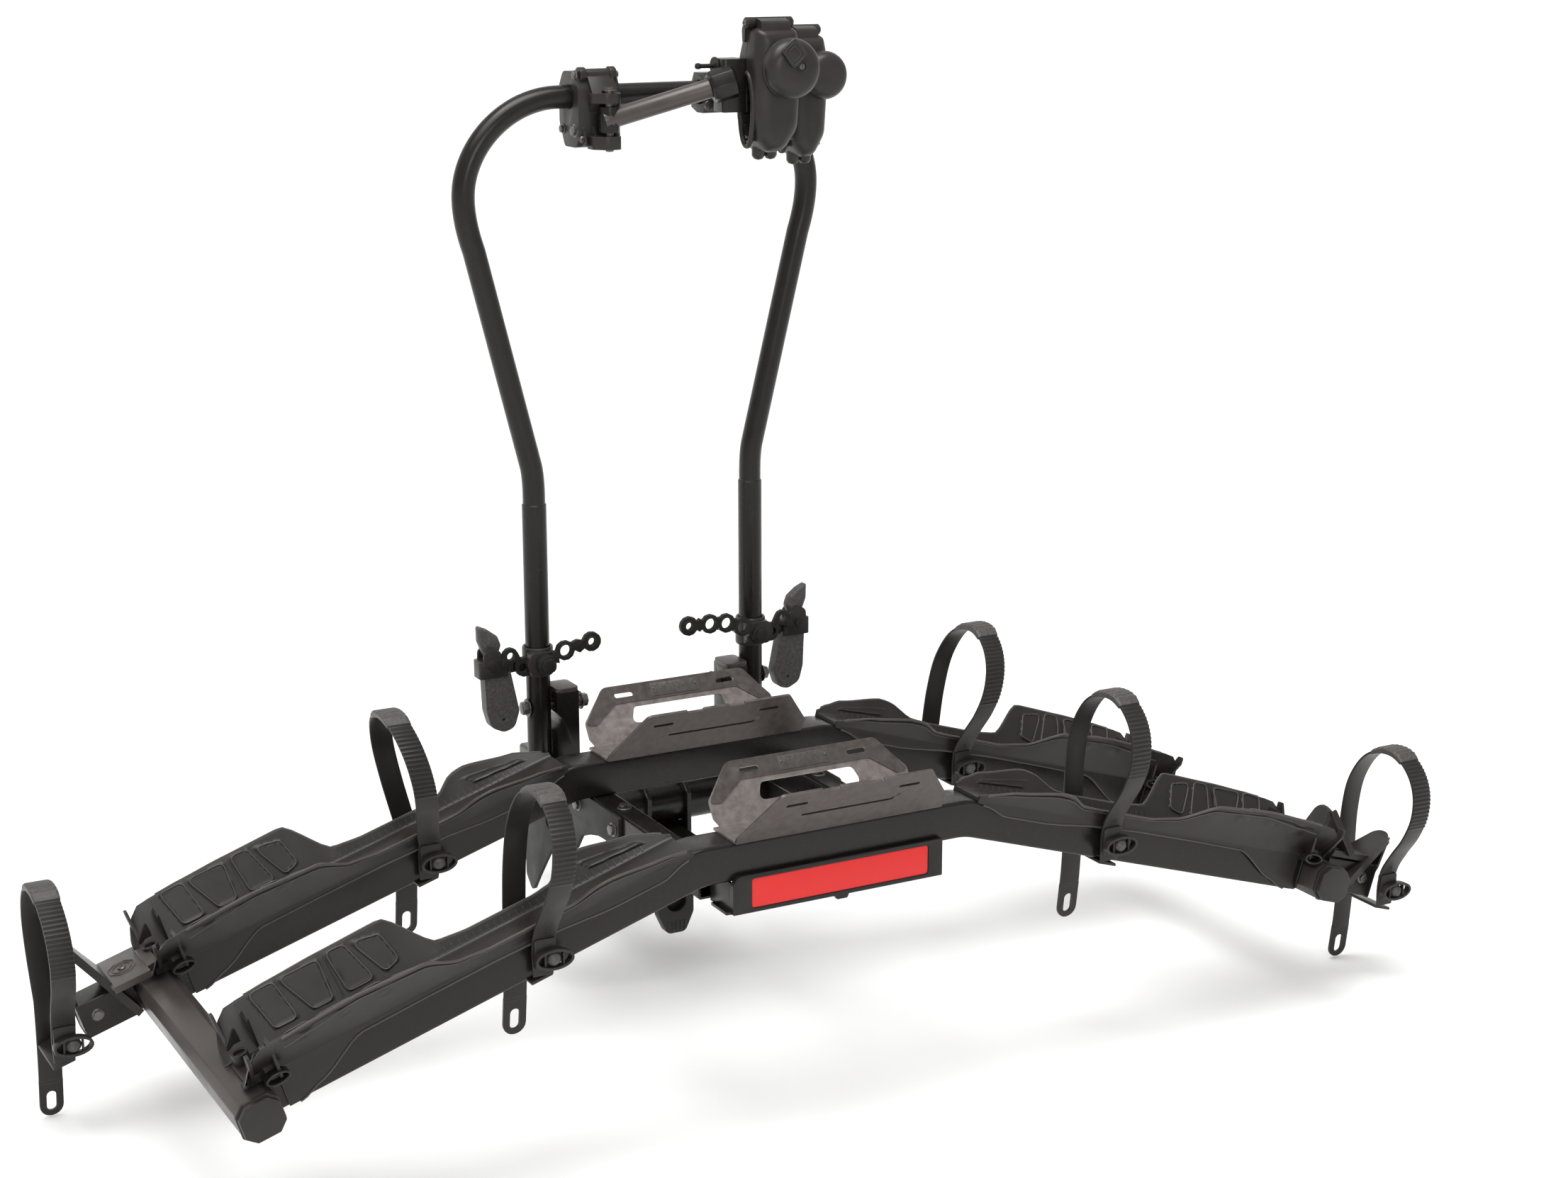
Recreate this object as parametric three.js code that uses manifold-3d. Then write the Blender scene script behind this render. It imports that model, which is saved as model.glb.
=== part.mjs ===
// Hitch mounted bike rack: two arched wheel beams on a tilting platform, a folding hoop with two frame
// clamps, ladder straps for the wheels and two pull-out wheel extensions.
// Millimetres. +X is across the vehicle, +Y points at the vehicle, +Z is up.
// The origin is on the mid-plane, on the hitch bar's top face, straight above the hitch pin.
// Inside, the pieces are laid out from the middle of the back beam's top face, and moved as one at the end.
import * as THREE from 'three';
import { mergeVertices } from 'three/addons/utils/BufferGeometryUtils.js';
import Module from 'manifold-3d';

const wasm = await Module();
wasm.setup();

// ---- driving dimensions ----
const GAP = 0.3;
const BEAM_PITCH = 342;
const BEAM_WIDTH = 50;
const BEAM_HEIGHT = 45.7;
const BEAM_WALL = 3;
const DROOP = THREE.MathUtils.degToRad(17.5);
const BEND_X = 178;
const BEND_Z = -20.5;
const WING_END = 534.6;
const TUBE_RUN = [535, 583];
const TUBE_Y = [-398, 38];
const TUBE_LOW = -45;
const TUBE_HIGH = -0.4;
const TUBE_CHAMFER = 9;
const CAP_LENGTH = 12;
const RAIL_X = [122, 152];
const RAIL_Z = [-86, -46];
const RAIL_Y = [-306, 165];
const PIVOT = { y: 112, z: -118, r: 26.5 };
const HITCH_HALF = 25.4;
const HITCH_TOP = -147;
const HITCH_Y = [20, 520];
const HITCH_PIN = { y: 470, r: 7.9 };
const LOCK_PIN = { y: 165, z: -110, r: 8 };
const CRADLE = { half: 137, topHalf: 99, height: 66 };
const HOOP = { y: 143, r: 14.3, wall: 2.5, legX: 154.4, pivotZ: 29, foot: -43, wideX: 238, wideZ: 684, topZ: 802 };
const PIVOT_BOLT = { r: 6, bore: 6.5, head: 9.5 };
const SLEEVE = { r: 15.6, top: 297 };
const POST = { x: [108, 138], y: [120, 160], z: [-45.5, 55] };
const COLLAR_Z = [72, 112];
const STRAP_WIDTH = 28;
const STRAP_THICK = 3;
const STRAP_X = { inner: 378, outer: 826 };
const ARM = { from: [-62, 98, 776], to: [58, 62, 812], r: 12 };
const HEAD_1 = { x: [104, 168], y: 20, drop: 0, knobX: 144, knobR: 37 };
const HEAD_2 = { x: [175, 229], y: 60, drop: 12, knobX: 212, knobR: 30 };
const HEAD = { bottom: 733, top: 884, pinZ: 890, jaw: 31, knobZ: 836, knobDepth: 28, mouthZ: 785, mouthHalf: 40 };
const KNUCKLE = { r: 8, long: 12, pin: 3.5 };
const STEM = { r: 7, long: 14 };
const LIGHT_CURVE = 16;
const FINE_CURVE = 24;

// ---- materials ----
const paint = (color, roughness, metalness) => new THREE.MeshStandardMaterial({ color, roughness, metalness });
const finish = {
  steel: paint(0x1f1d1c, 0.42, 0.55),
  tray: paint(0x3a3634, 0.62, 0.0),
  sheet: paint(0x6d6462, 0.48, 0.6),
  clamp: paint(0x4a4645, 0.6, 0.0),
  arm: paint(0x6b6260, 0.45, 0.6),
  rubber: paint(0x2b2928, 0.8, 0.0),
  strap: paint(0x3a3736, 0.65, 0.0),
  paddle: paint(0x4d4b4a, 0.6, 0.0),
  red: paint(0xe8403c, 0.35, 0.0),
  bolt: paint(0x8b8886, 0.35, 0.9),
};

// ---- solids ----
function solid(geometry) {
  const bare = geometry.index ? geometry.toNonIndexed() : geometry.clone();
  bare.deleteAttribute('normal');
  bare.deleteAttribute('uv');
  const merged = mergeVertices(bare, 1e-4);
  const vertProperties = new Float32Array(merged.attributes.position.array);
  const triVerts = new Uint32Array(merged.index.array);
  return new wasm.Manifold(new wasm.Mesh({ numProp: 3, vertProperties, triVerts }));
}

function geometryOf(body) {
  const mesh = body.getMesh();
  const geometry = new THREE.BufferGeometry();
  geometry.setAttribute('position', new THREE.BufferAttribute(new Float32Array(mesh.vertProperties), 3));
  geometry.setIndex(new THREE.BufferAttribute(new Uint32Array(mesh.triVerts), 1));
  geometry.computeVertexNormals();
  return geometry;
}

const joined = (parts) => parts.reduce((whole, part) => whole.add(part));
const cut = (body, tools) => tools.reduce((whole, tool) => whole.subtract(tool), body);

function box(x, y, z) {
  const geometry = new THREE.BoxGeometry(x[1] - x[0], y[1] - y[0], z[1] - z[0]);
  geometry.translate((x[0] + x[1]) / 2, (y[0] + y[1]) / 2, (z[0] + z[1]) / 2);
  return solid(geometry);
}

// A round bar along one axis, from a to b, whose centre line crosses the other two axes at c1 and c2.
function rod(axis, r, a, b, c1, c2, segments = LIGHT_CURVE) {
  const geometry = new THREE.CylinderGeometry(r, r, b - a, segments);
  const middle = (a + b) / 2;
  if (axis === 'x') geometry.rotateZ(Math.PI / 2).translate(middle, c1, c2);
  if (axis === 'y') geometry.translate(c1, middle, c2);
  if (axis === 'z') geometry.rotateX(Math.PI / 2).translate(c1, c2, middle);
  return solid(geometry);
}

function extruded(points, depth) {
  const shape = new THREE.Shape(points.map(([a, b]) => new THREE.Vector2(a, b)));
  return new THREE.ExtrudeGeometry(shape, { depth, bevelEnabled: false });
}

// Prisms: an outline in XZ pushed along Y, or an outline in YZ pushed along X.
function prismY(points, y0, y1) {
  return solid(extruded(points, y1 - y0).rotateX(Math.PI / 2).translate(0, y1, 0));
}

const YZ_TO_SPACE = new THREE.Matrix4().makeBasis(
  new THREE.Vector3(0, 1, 0),
  new THREE.Vector3(0, 0, 1),
  new THREE.Vector3(1, 0, 0),
);

function prismX(points, x0, x1) {
  return solid(extruded(points, x1 - x0).applyMatrix4(YZ_TO_SPACE).translate(x0, 0, 0));
}

// A round bar between two points.
function bar(from, to, r, segments = LIGHT_CURVE) {
  const start = new THREE.Vector3(...from);
  const end = new THREE.Vector3(...to);
  const along = end.clone().sub(start);
  const geometry = new THREE.CylinderGeometry(r, r, along.length(), segments);
  const turn = new THREE.Quaternion().setFromUnitVectors(new THREE.Vector3(0, 1, 0), along.normalize());
  geometry.applyQuaternion(turn);
  geometry.translate(...start.add(end).multiplyScalar(0.5).toArray());
  return solid(geometry);
}

// A strip of even thickness that follows a line of points in a plane.
function stripOutline(points, thickness) {
  const line = points.map(([a, b]) => new THREE.Vector2(a, b));
  const sides = [[], []];
  line.forEach((point, i) => {
    const before = line[Math.max(i - 1, 0)];
    const after = line[Math.min(i + 1, line.length - 1)];
    const tangent = after.clone().sub(before).normalize();
    const offset = new THREE.Vector2(-tangent.y, tangent.x).multiplyScalar(thickness / 2);
    sides[0].push(point.clone().add(offset).toArray());
    sides[1].unshift(point.clone().sub(offset).toArray());
  });
  return [...sides[0], ...sides[1]];
}

// A skin stretched over closed outlines with the same number of points, closed at both ends.
function loft(sections) {
  const count = sections[0].length;
  const positions = sections.flat(2);
  const index = [];
  for (let i = 0; i < sections.length - 1; i += 1) {
    for (let j = 0; j < count; j += 1) {
      const a = i * count + j;
      const b = i * count + ((j + 1) % count);
      index.push(a, b, a + count, b, b + count, a + count);
    }
  }
  const lid = (row, flip) => {
    const outline = sections[row].map(([, y, z]) => new THREE.Vector2(y, z));
    for (const [a, b, c] of THREE.ShapeUtils.triangulateShape(outline, [])) {
      const base = row * count;
      index.push(base + a, base + (flip ? c : b), base + (flip ? b : c));
    }
  };
  lid(0, true);
  lid(sections.length - 1, false);
  const geometry = new THREE.BufferGeometry();
  geometry.setAttribute('position', new THREE.Float32BufferAttribute(positions, 3));
  geometry.setIndex(index);
  return geometry;
}

function mirrored(geometry) {
  const copy = geometry.clone().scale(-1, 1, 1);
  const index = copy.index.array;
  for (let i = 0; i < index.length; i += 3) {
    [index[i], index[i + 1]] = [index[i + 1], index[i]];
  }
  copy.computeVertexNormals();
  return copy;
}

// ---- the scene graph ----
const rack = new THREE.Group();

// side 1 is the right half as modelled, side -1 its mirror image.
function place(name, body, material, side = 1, parent = rack) {
  const geometry = geometryOf(body);
  const mesh = new THREE.Mesh(side < 0 ? mirrored(geometry) : geometry, material);
  mesh.name = name;
  parent.add(mesh);
  return mesh;
}

// A wing frame: x runs out along the drooping beam, z is height above the beam's top face.
function wingGroup(side, beamY) {
  const group = new THREE.Group();
  const lift = -BEND_Z;
  group.position.set(side * (BEND_X + lift * Math.sin(DROOP)), beamY, BEND_Z + lift * Math.cos(DROOP));
  group.rotation.y = side * DROOP;
  rack.add(group);
  return group;
}

const wingPoint = (s, h) => [
  BEND_X + s * Math.cos(DROOP) + (h - BEND_Z) * Math.sin(DROOP),
  BEND_Z - s * Math.sin(DROOP) + (h - BEND_Z) * Math.cos(DROOP),
];
const wings = {};
for (const [beam, y] of [['back', 0], ['front', -BEAM_PITCH]]) {
  for (const [sideName, side] of [['left', -1], ['right', 1]]) {
    wings[`${beam}_${sideName}`] = wingGroup(side, y);
  }
}

// ---- beams ----
// Half of a beam's top or bottom line: flat middle, soft bend, straight wing.
function beamLine(height, endRun) {
  const corner = BEND_X + (height - BEND_Z) * Math.tan(DROOP / 2);
  const soft = 12;
  const start = new THREE.Vector2(corner - soft, height);
  const middle = new THREE.Vector2(corner, height);
  const after = new THREE.Vector2(corner + soft * Math.cos(DROOP), height - soft * Math.sin(DROOP));
  const bend = new THREE.QuadraticBezierCurve(start, middle, after).getPoints(4);
  return [...bend.map((p) => p.toArray()), wingPoint(endRun, height)];
}

function beamOutline(top, bottom, endRun) {
  const right = [...beamLine(top, endRun), ...beamLine(bottom, endRun).reverse()];
  const left = right.map(([x, z]) => [-x, z]).reverse();
  return [...left.slice(left.length / 2), ...right, ...left.slice(0, left.length / 2)];
}

function beam() {
  const half = BEAM_WIDTH / 2;
  const outer = prismY(beamOutline(0, -BEAM_HEIGHT, WING_END), -half, half);
  const hollow = beamOutline(-BEAM_WALL, -BEAM_HEIGHT + BEAM_WALL, WING_END + 20);
  return cut(outer, [prismY(hollow, -half + BEAM_WALL, half - BEAM_WALL)]);
}

// ---- end cross tubes, seen along the wing: s out, h up ----
function chamferedBox(s, h, c) {
  return [
    [s[0] + c, h[0]], [s[1] - c, h[0]], [s[1], h[0] + c], [s[1], h[1] - c],
    [s[1] - c, h[1]], [s[0] + c, h[1]], [s[0], h[1] - c], [s[0], h[0] + c],
  ];
}

function endTube(windowY) {
  const outer = prismY(chamferedBox(TUBE_RUN, [TUBE_LOW, TUBE_HIGH], TUBE_CHAMFER), TUBE_Y[0], TUBE_Y[1]);
  const wall = 3;
  const innerRun = [TUBE_RUN[0] + wall, TUBE_RUN[1] - wall];
  const innerHeight = [TUBE_LOW + wall, TUBE_HIGH - wall];
  const hollow = prismY(chamferedBox(innerRun, innerHeight, TUBE_CHAMFER - 2), TUBE_Y[0] + wall, TUBE_Y[1] + 9);
  const window = box([TUBE_RUN[0] - 9, TUBE_RUN[1] + 9], [windowY - 18, windowY + 18], [-34, -12]);
  return cut(outer, [hollow, window]);
}

function endCap(front) {
  const run = [TUBE_RUN[0] - 1, TUBE_RUN[1] + 1];
  const y = front ? [TUBE_Y[0] - CAP_LENGTH, TUBE_Y[0] - GAP] : [TUBE_Y[1] + GAP, TUBE_Y[1] + CAP_LENGTH];
  return prismY(chamferedBox(run, [TUBE_LOW - 1, TUBE_HIGH + 1], TUBE_CHAMFER + 2), y[0], y[1]);
}

// ---- wheel trays ----
// Stations along a wing: run, then half width and height of the front wall, of the back wall, then the skirt.
const TRAY_STATIONS = [
  [6, 29, 7, 29, 8, 2],
  [22, 34, 13, 36, 14, 4],
  [48, 42, 21, 44, 22, 12],
  [112, 45, 30, 48, 34, 12],
  [128, 44, 29, 47, 32, 11],
  [158, 33, 17, 34, 18, 8],
  [180, 32, 16, 32, 16, 6],
  [262, 32, 16, 32, 16, 3],
  [300, 40, 24, 34, 19, 3],
  [344, 62, 52, 64.5, 59, 3],
  [424, 64.5, 57, 64.5, 57, 4],
  [482, 64.5, 54, 64.5, 54, 34],
  [508, 64.5, 52, 64.5, 52, 44.5],
  [522, 64.5, 51, 64.5, 51, 44.5],
];
const TRAY_TAIL = [
  [522, 64.5, 51, 64.5, 51],
  [541, 64, 49, 64, 49],
  [553, 58, 32, 58, 32],
  [560, 50, 12, 50, 12],
];
const TRAY_SKIN = 3.2;
const SKIRT_IN = 25.4;
const SKIRT_OUT = 28.6;

function traySection([s, wf, hf, wb, hb, k]) {
  return [
    [s, SKIRT_OUT, -k], [s, SKIRT_OUT, 1.5], [s, wb, hb], [s, wb - TRAY_SKIN, hb],
    [s, 23, 4], [s, -23, 4], [s, -wf + TRAY_SKIN, hf], [s, -wf, hf],
    [s, -SKIRT_OUT, 1.5], [s, -SKIRT_OUT, -k], [s, -SKIRT_IN, -k], [s, -SKIRT_IN, 0.4],
    [s, SKIRT_IN, 0.4], [s, SKIRT_IN, -k],
  ];
}

function trayTailSection([s, wf, hf, wb, hb]) {
  return [
    [s, SKIRT_OUT, 0.4], [s, wb, hb], [s, wb - TRAY_SKIN, hb], [s, 23, 4],
    [s, -23, 4], [s, -wf + TRAY_SKIN, hf], [s, -wf, hf], [s, -SKIRT_OUT, 0.4],
  ];
}

function tray() {
  const body = solid(loft(TRAY_STATIONS.map(traySection)));
  const tail = solid(loft(TRAY_TAIL.map(trayTailSection)));
  return body.add(tail);
}

// ---- frame under the beams ----
function rail() {
  const wall = 3;
  const hollow = box(
    [RAIL_X[0] + wall, RAIL_X[1] - wall],
    [RAIL_Y[0] - 9, RAIL_Y[1] + 9],
    [RAIL_Z[0] + wall, RAIL_Z[1] - wall],
  );
  return cut(box(RAIL_X, RAIL_Y, RAIL_Z), [hollow]);
}

function gusset() {
  const outline = [
    [-100, -48], [-100, -86], [-40, -90], [8, -102], [30, -130], [60, -140], [104, -150],
    [150, -205], [172, -234], [192, -215], [192, -120], [165, -48],
  ];
  return prismX(outline, RAIL_X[1] + GAP, RAIL_X[1] + 5);
}

function pivotTube() {
  const reach = RAIL_X[1] - 0.2;
  const outer = rod('x', PIVOT.r, -reach, reach, PIVOT.y, PIVOT.z, FINE_CURVE);
  return cut(outer, [rod('x', PIVOT.r - 4, -reach - 5, reach + 5, PIVOT.y, PIVOT.z, FINE_CURVE)]);
}

// The foot pedal is a loop of flat bar that hangs under the front beam.
const PEDAL = { x: [-162, -116], y: [-222, -208], z: [-158, -90] };
function releasePedal() {
  const middle = (PEDAL.x[0] + PEDAL.x[1]) / 2;
  const outline = [
    [PEDAL.x[0], PEDAL.z[1]], [PEDAL.x[0], PEDAL.z[0] + 26], [middle - 12, PEDAL.z[0]],
    [middle + 12, PEDAL.z[0]], [PEDAL.x[1], PEDAL.z[0] + 26], [PEDAL.x[1], PEDAL.z[1]],
  ];
  const hole = rod('y', 13, PEDAL.y[0] - 5, PEDAL.y[1] + 5, middle, -116);
  return cut(prismY(outline, PEDAL.y[0], PEDAL.y[1]), [hole]);
}

// ---- hitch bar, its clevis and pins ----
function hitchBar() {
  const bottom = HITCH_TOP - 2 * HITCH_HALF;
  const outer = box([-HITCH_HALF, HITCH_HALF], HITCH_Y, [bottom, HITCH_TOP]);
  const wall = 5;
  const inner = HITCH_HALF - wall;
  const hollow = box([-inner, inner], [HITCH_Y[0] - 5, HITCH_Y[1] + 5], [bottom + wall, HITCH_TOP - wall]);
  const pinHole = rod('x', HITCH_PIN.r + 0.4, -40, 40, HITCH_PIN.y, HITCH_TOP - HITCH_HALF);
  return cut(outer, [hollow, pinHole]);
}

function clevisPlate() {
  const x = [HITCH_HALF + GAP, HITCH_HALF + 6.3];
  const outline = [[78, -198], [230, -198], [230, -102], [212, -84], [96, -84], [78, -100]];
  const bore = rod('x', PIVOT.r + 0.8, 0, 60, PIVOT.y, PIVOT.z, FINE_CURVE);
  const lockBore = rod('x', LOCK_PIN.r + 0.5, 0, 60, LOCK_PIN.y, LOCK_PIN.z);
  return cut(prismX(outline, x[0], x[1]), [bore, lockBore]);
}

function lockPin() {
  const shaft = rod('x', LOCK_PIN.r, -44, 40, LOCK_PIN.y, LOCK_PIN.z);
  return shaft.add(rod('x', LOCK_PIN.r + 4, -56, -44, LOCK_PIN.y, LOCK_PIN.z, 6));
}

function hitchPin() {
  const z = HITCH_TOP - HITCH_HALF;
  const shaft = rod('x', HITCH_PIN.r, -62, 50, HITCH_PIN.y, z);
  const bend = bar([-58, HITCH_PIN.y, z], [-58, HITCH_PIN.y - 62, z - 8], HITCH_PIN.r - 0.2);
  return shaft.add(bend);
}

function hitchClip() {
  const z = HITCH_TOP - HITCH_HALF;
  const outer = rod('x', HITCH_PIN.r + 5, 40, 44, HITCH_PIN.y, z);
  const tail = box([40, 44], [HITCH_PIN.y - 3, HITCH_PIN.y + 3], [z - 42, z - 9]);
  return cut(outer.add(tail), [rod('x', HITCH_PIN.r + 0.4, 35, 50, HITCH_PIN.y, z)]);
}

// ---- sheet metal cradles on the beam centres ----
function cradle() {
  const line = [
    [-67.8, 65], [-62, 58], [-50, 36], [-26, 3], [-22, 2],
    [22, 2], [26, 3], [52, 40], [64, 60], [69, 66],
  ];
  const sheet = prismX(stripOutline(line, 3), -CRADLE.half, CRADLE.half);
  const trims = [1, -1].map((side) => prismY([
    [side * CRADLE.half, 8], [side * (CRADLE.half + 9), 8], [side * (CRADLE.half + 9), 90],
    [side * (CRADLE.topHalf - 12), 90], [side * CRADLE.topHalf, CRADLE.height],
  ], -90, 90));
  const window = box([-62, 66], [22, 90], [20, 46]);
  const slit = box([-70, 74], [-90, -30], [26, 29.5]);
  const slots = [-1, 1].flatMap((side) => [
    box([side * 78 - 13, side * 78 + 13], [40, 90], [56, 60]),
    box([side * 78 - 13, side * 78 + 13], [-90, -40], [51, 55]),
  ]);
  return cut(sheet, [...trims, window, slit, ...slots]);
}

// ---- tail reflector ----
const REFLECTOR = { half: 117.3, z: [-78.8, -43.7] };
function reflectorHousing() {
  const front = box([-142, 137], [-374.5, -367.4], [-84, -38]);
  const body = box([-139, 134], [-370, -316], [-84, -46.2]);
  const recess = box(
    [-REFLECTOR.half - 0.3, REFLECTOR.half + 0.3],
    [-390, -371.4],
    [REFLECTOR.z[0] - 0.3, REFLECTOR.z[1] + 0.3],
  );
  const hollow = box([-130, 125], [-364, -300], [-78, -52]);
  const railNotches = [-1, 1].map((side) => {
    const x = [side * RAIL_X[0] - side, side * (RAIL_X[1] + 2)].sort((a, b) => a - b);
    return box(x, [RAIL_Y[0] - 2, 0], [RAIL_Z[0] - 2, 0]);
  });
  return cut(front.add(body), [recess, hollow, ...railNotches]);
}

const reflector = () => box([-REFLECTOR.half, REFLECTOR.half], [-374.2, -371.7], REFLECTOR.z);

// ---- hoop and the fittings on its legs ----
function hoopLine() {
  const at = (x, z) => new THREE.Vector3(x, HOOP.y, z);
  const legTop = [HOOP.legX, 305];
  const lean = [HOOP.legX + 3, 345];
  const shoulderLow = [HOOP.wideX - 12, 620];
  const wide = [HOOP.wideX, HOOP.wideZ];
  const barEnd = [110, HOOP.topZ];
  const line = new THREE.CurvePath();
  const add = (Curve, points, side) => {
    const ordered = side < 0 ? points : [...points].reverse();
    line.add(new Curve(...ordered.map(([x, z]) => at(side * x, z))));
  };
  const stretches = [
    [THREE.LineCurve3, [[HOOP.legX, HOOP.foot], legTop]],
    [THREE.QuadraticBezierCurve3, [legTop, [HOOP.legX, 330], lean]],
    [THREE.LineCurve3, [lean, shoulderLow]],
    [THREE.QuadraticBezierCurve3, [shoulderLow, [HOOP.wideX, 655], wide]],
    [THREE.CubicBezierCurve3, [wide, [HOOP.wideX, 745], [HOOP.wideX - 58, HOOP.topZ], barEnd]],
  ];
  stretches.forEach(([Curve, points]) => add(Curve, points, -1));
  line.add(new THREE.LineCurve3(at(-barEnd[0], HOOP.topZ), at(barEnd[0], HOOP.topZ)));
  stretches.reverse().forEach(([Curve, points]) => add(Curve, points, 1));
  return line;
}

function hoop() {
  const ring = new THREE.Shape();
  ring.absarc(0, 0, HOOP.r, 0, Math.PI * 2);
  const inside = HOOP.r - HOOP.wall;
  const bore = new THREE.Path();
  bore.absarc(0, 0, inside, 0, Math.PI * 2);
  ring.holes.push(bore);
  const options = { steps: 60, curveSegments: 5, extrudePath: hoopLine() };
  const tube = solid(new THREE.ExtrudeGeometry(ring, options));
  const legs = [-1, 1].map((side) => {
    const sleeve = rod('z', SLEEVE.r, HOOP.foot - 1, SLEEVE.top, side * HOOP.legX, HOOP.y, FINE_CURVE);
    return cut(sleeve, [rod('z', inside, HOOP.foot - 5, SLEEVE.top + 5, side * HOOP.legX, HOOP.y)]);
  });
  const reach = 30;
  const boltBores = [-1, 1].map((side) => (
    rod('x', PIVOT_BOLT.bore, side * HOOP.legX - reach, side * HOOP.legX + reach, HOOP.y, HOOP.pivotZ)
  ));
  return cut(joined([tube, ...legs]), boltBores);
}

// The post beside each leg; its outer edge is stepped where the leg's latch sits.
function hoopPost() {
  const [x0, x1] = POST.x;
  const [z0, z1] = POST.z;
  const step = x1 - 5;
  const outline = [
    [x0, z0], [x1, z0], [x1, -2], [step, 6], [step, 16], [x1, 24], [x1, z1 - 5], [step, z1], [x0, z1],
  ];
  const bore = rod('x', PIVOT_BOLT.bore, x0 - 9, x1 + 9, HOOP.y, HOOP.pivotZ);
  return cut(prismY(outline, POST.y[0], POST.y[1]), [bore]);
}

function pivotBolt() {
  const shaft = rod('x', PIVOT_BOLT.r, 88, 178, HOOP.y, HOOP.pivotZ, 12);
  const head = rod('x', PIVOT_BOLT.head, 171, 179, HOOP.y, HOOP.pivotZ, 12);
  const nut = rod('x', PIVOT_BOLT.head, 86, 96, HOOP.y, HOOP.pivotZ, 6);
  const spacer = rod('x', 8, 96, POST.x[0] - GAP, HOOP.y, HOOP.pivotZ, 12);
  return joined([shaft, head, nut, spacer]);
}

const STUD = { x: 154, y: [108, 130], z: 91.5 };
const TAIL_Y = [112.9, 119.7];
const TAIL_EYE = 13;
const TAIL_WAIST = 9;
const COLLAR_R = 20;
// Each tail's holes as [x, z, radius], from the one on the stud to the one in the pull tab.
const STUD_HOLE = [STUD.x, STUD.z, 7.1];
const TAIL_HOLES = {
  left: [STUD_HOLE, [128, 107, 7.3], [91, 114, 5]],
  right: [STUD_HOLE, [128, 105, 7.3], [104, 113, 7.3], [80, 115, 7.3], [49, 116, 5]],
};
function legCollar() {
  const ring = rod('z', COLLAR_R, COLLAR_Z[0], COLLAR_Z[1], HOOP.legX, HOOP.y, 20);
  const lug = box([132, 168], [125, 135], [80, 103]);
  const stud = rod('y', 6.6, STUD.y[0], STUD.y[1], STUD.x, STUD.z, 12);
  const head = rod('y', 10.5, STUD.y[0] - 2, TAIL_Y[0] - GAP, STUD.x, STUD.z, 6);
  const bore = rod('z', SLEEVE.r + 0.7, 0, 200, HOOP.legX, HOOP.y, FINE_CURVE);
  return cut(joined([ring, lug, stud, head]), [bore]);
}

// The holed rubber tail points inboard at rest and swings up beside the leg.
function strapTail(holes) {
  const [y0, y1] = TAIL_Y;
  const eyes = holes.map(([x, z]) => rod('y', TAIL_EYE, y0, y1, x, z, 12));
  const links = holes.slice(1).map(([x, z], i) => {
    const [beforeX, beforeZ] = holes[i];
    const foot = [[beforeX, beforeZ - TAIL_WAIST], [beforeX, beforeZ + TAIL_WAIST]];
    return prismY([...foot, [x, z + TAIL_WAIST], [x, z - TAIL_WAIST]], y0, y1);
  });
  const bores = holes.map(([x, z, r]) => rod('y', r, y0 - 9, y1 + 9, x, z));
  return cut(joined([...eyes, ...links]), bores);
}

// Outboard of the leg: a link, a black band that holds the cam blade, and the grey pad below it.
function strapAnchor() {
  const link = box([168, 206], [137, 149], [84, 102]);
  const band = box([200, 238], [130, 156], [78, 101.2]);
  const lugs = [[130, 134.5], [151.5, 156]].map((y) => box([210, 232], y, [98, 118]));
  const padOutline = [[196, 82], [186, 30], [190, 14], [200, 6], [216, 5], [226, 14], [229, 30], [232, 82]];
  const pad = prismY(padOutline, 134, 150);
  return cut(joined([link, band, pad, ...lugs]), [rod('z', COLLAR_R + 0.4, 0, 200, HOOP.legX, HOOP.y, 20)]);
}

function camBlade() {
  const outline = [
    [212, 106], [220, 104], [228, 106], [236, 124], [237, 147], [226, 141], [212, 131], [207, 120],
  ];
  return prismY(outline, 135.2, 150.8);
}

// ---- arms and frame clamps ----
const barBore = (x0, x1) => rod('x', HOOP.r + 0.9, x0, x1, HOOP.y, HOOP.topZ, FINE_CURVE);

function clampBlockLeft() {
  const outline = [
    [114, 750], [114, 812], [124, 832], [158, 832], [170, 812], [170, 770], [156, 742], [124, 742],
  ];
  const body = prismX(outline, -96, -40);
  const lugHeights = [[740, 756], [796, 808]];
  const lugs = lugHeights.map((z) => rod('z', 15, z[0], z[1], ARM.from[0], ARM.from[1]));
  const webs = lugHeights.map((z) => box([-80, -46], [98, 118], z));
  const pin = rod('z', 5, 736, 812, ARM.from[0], ARM.from[1], 12);
  return cut(joined([body, ...lugs, ...webs, pin]), [barBore(-120, 0)]);
}

function clampArm() {
  const [x, y, z] = ARM.from;
  const eye = rod('z', 14, z - 16, z + 16, x, y);
  const tube = bar(ARM.from, ARM.to, ARM.r);
  return cut(eye.add(tube), [rod('z', 5.5, 700, 900, x, y, 12)]);
}

const jawOutline = (head) => {
  const [x0, x1] = head.x;
  const width = x1 - x0;
  return [
    [x0 + 4, HEAD.top], [x0, 850], [x0 - 1, 770], [x0 + 6, 744], [x0 + 16, HEAD.bottom],
    [x0 + width * 0.6, HEAD.bottom], [x1 - 6, 756], [x1, 800], [x1, 862], [x1 - 6, HEAD.top],
  ].map(([x, z]) => [x, z - head.drop]);
};
const pinZ = (head) => HEAD.pinZ - head.drop;
const knobZ = (head) => HEAD.knobZ - head.drop;

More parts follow.
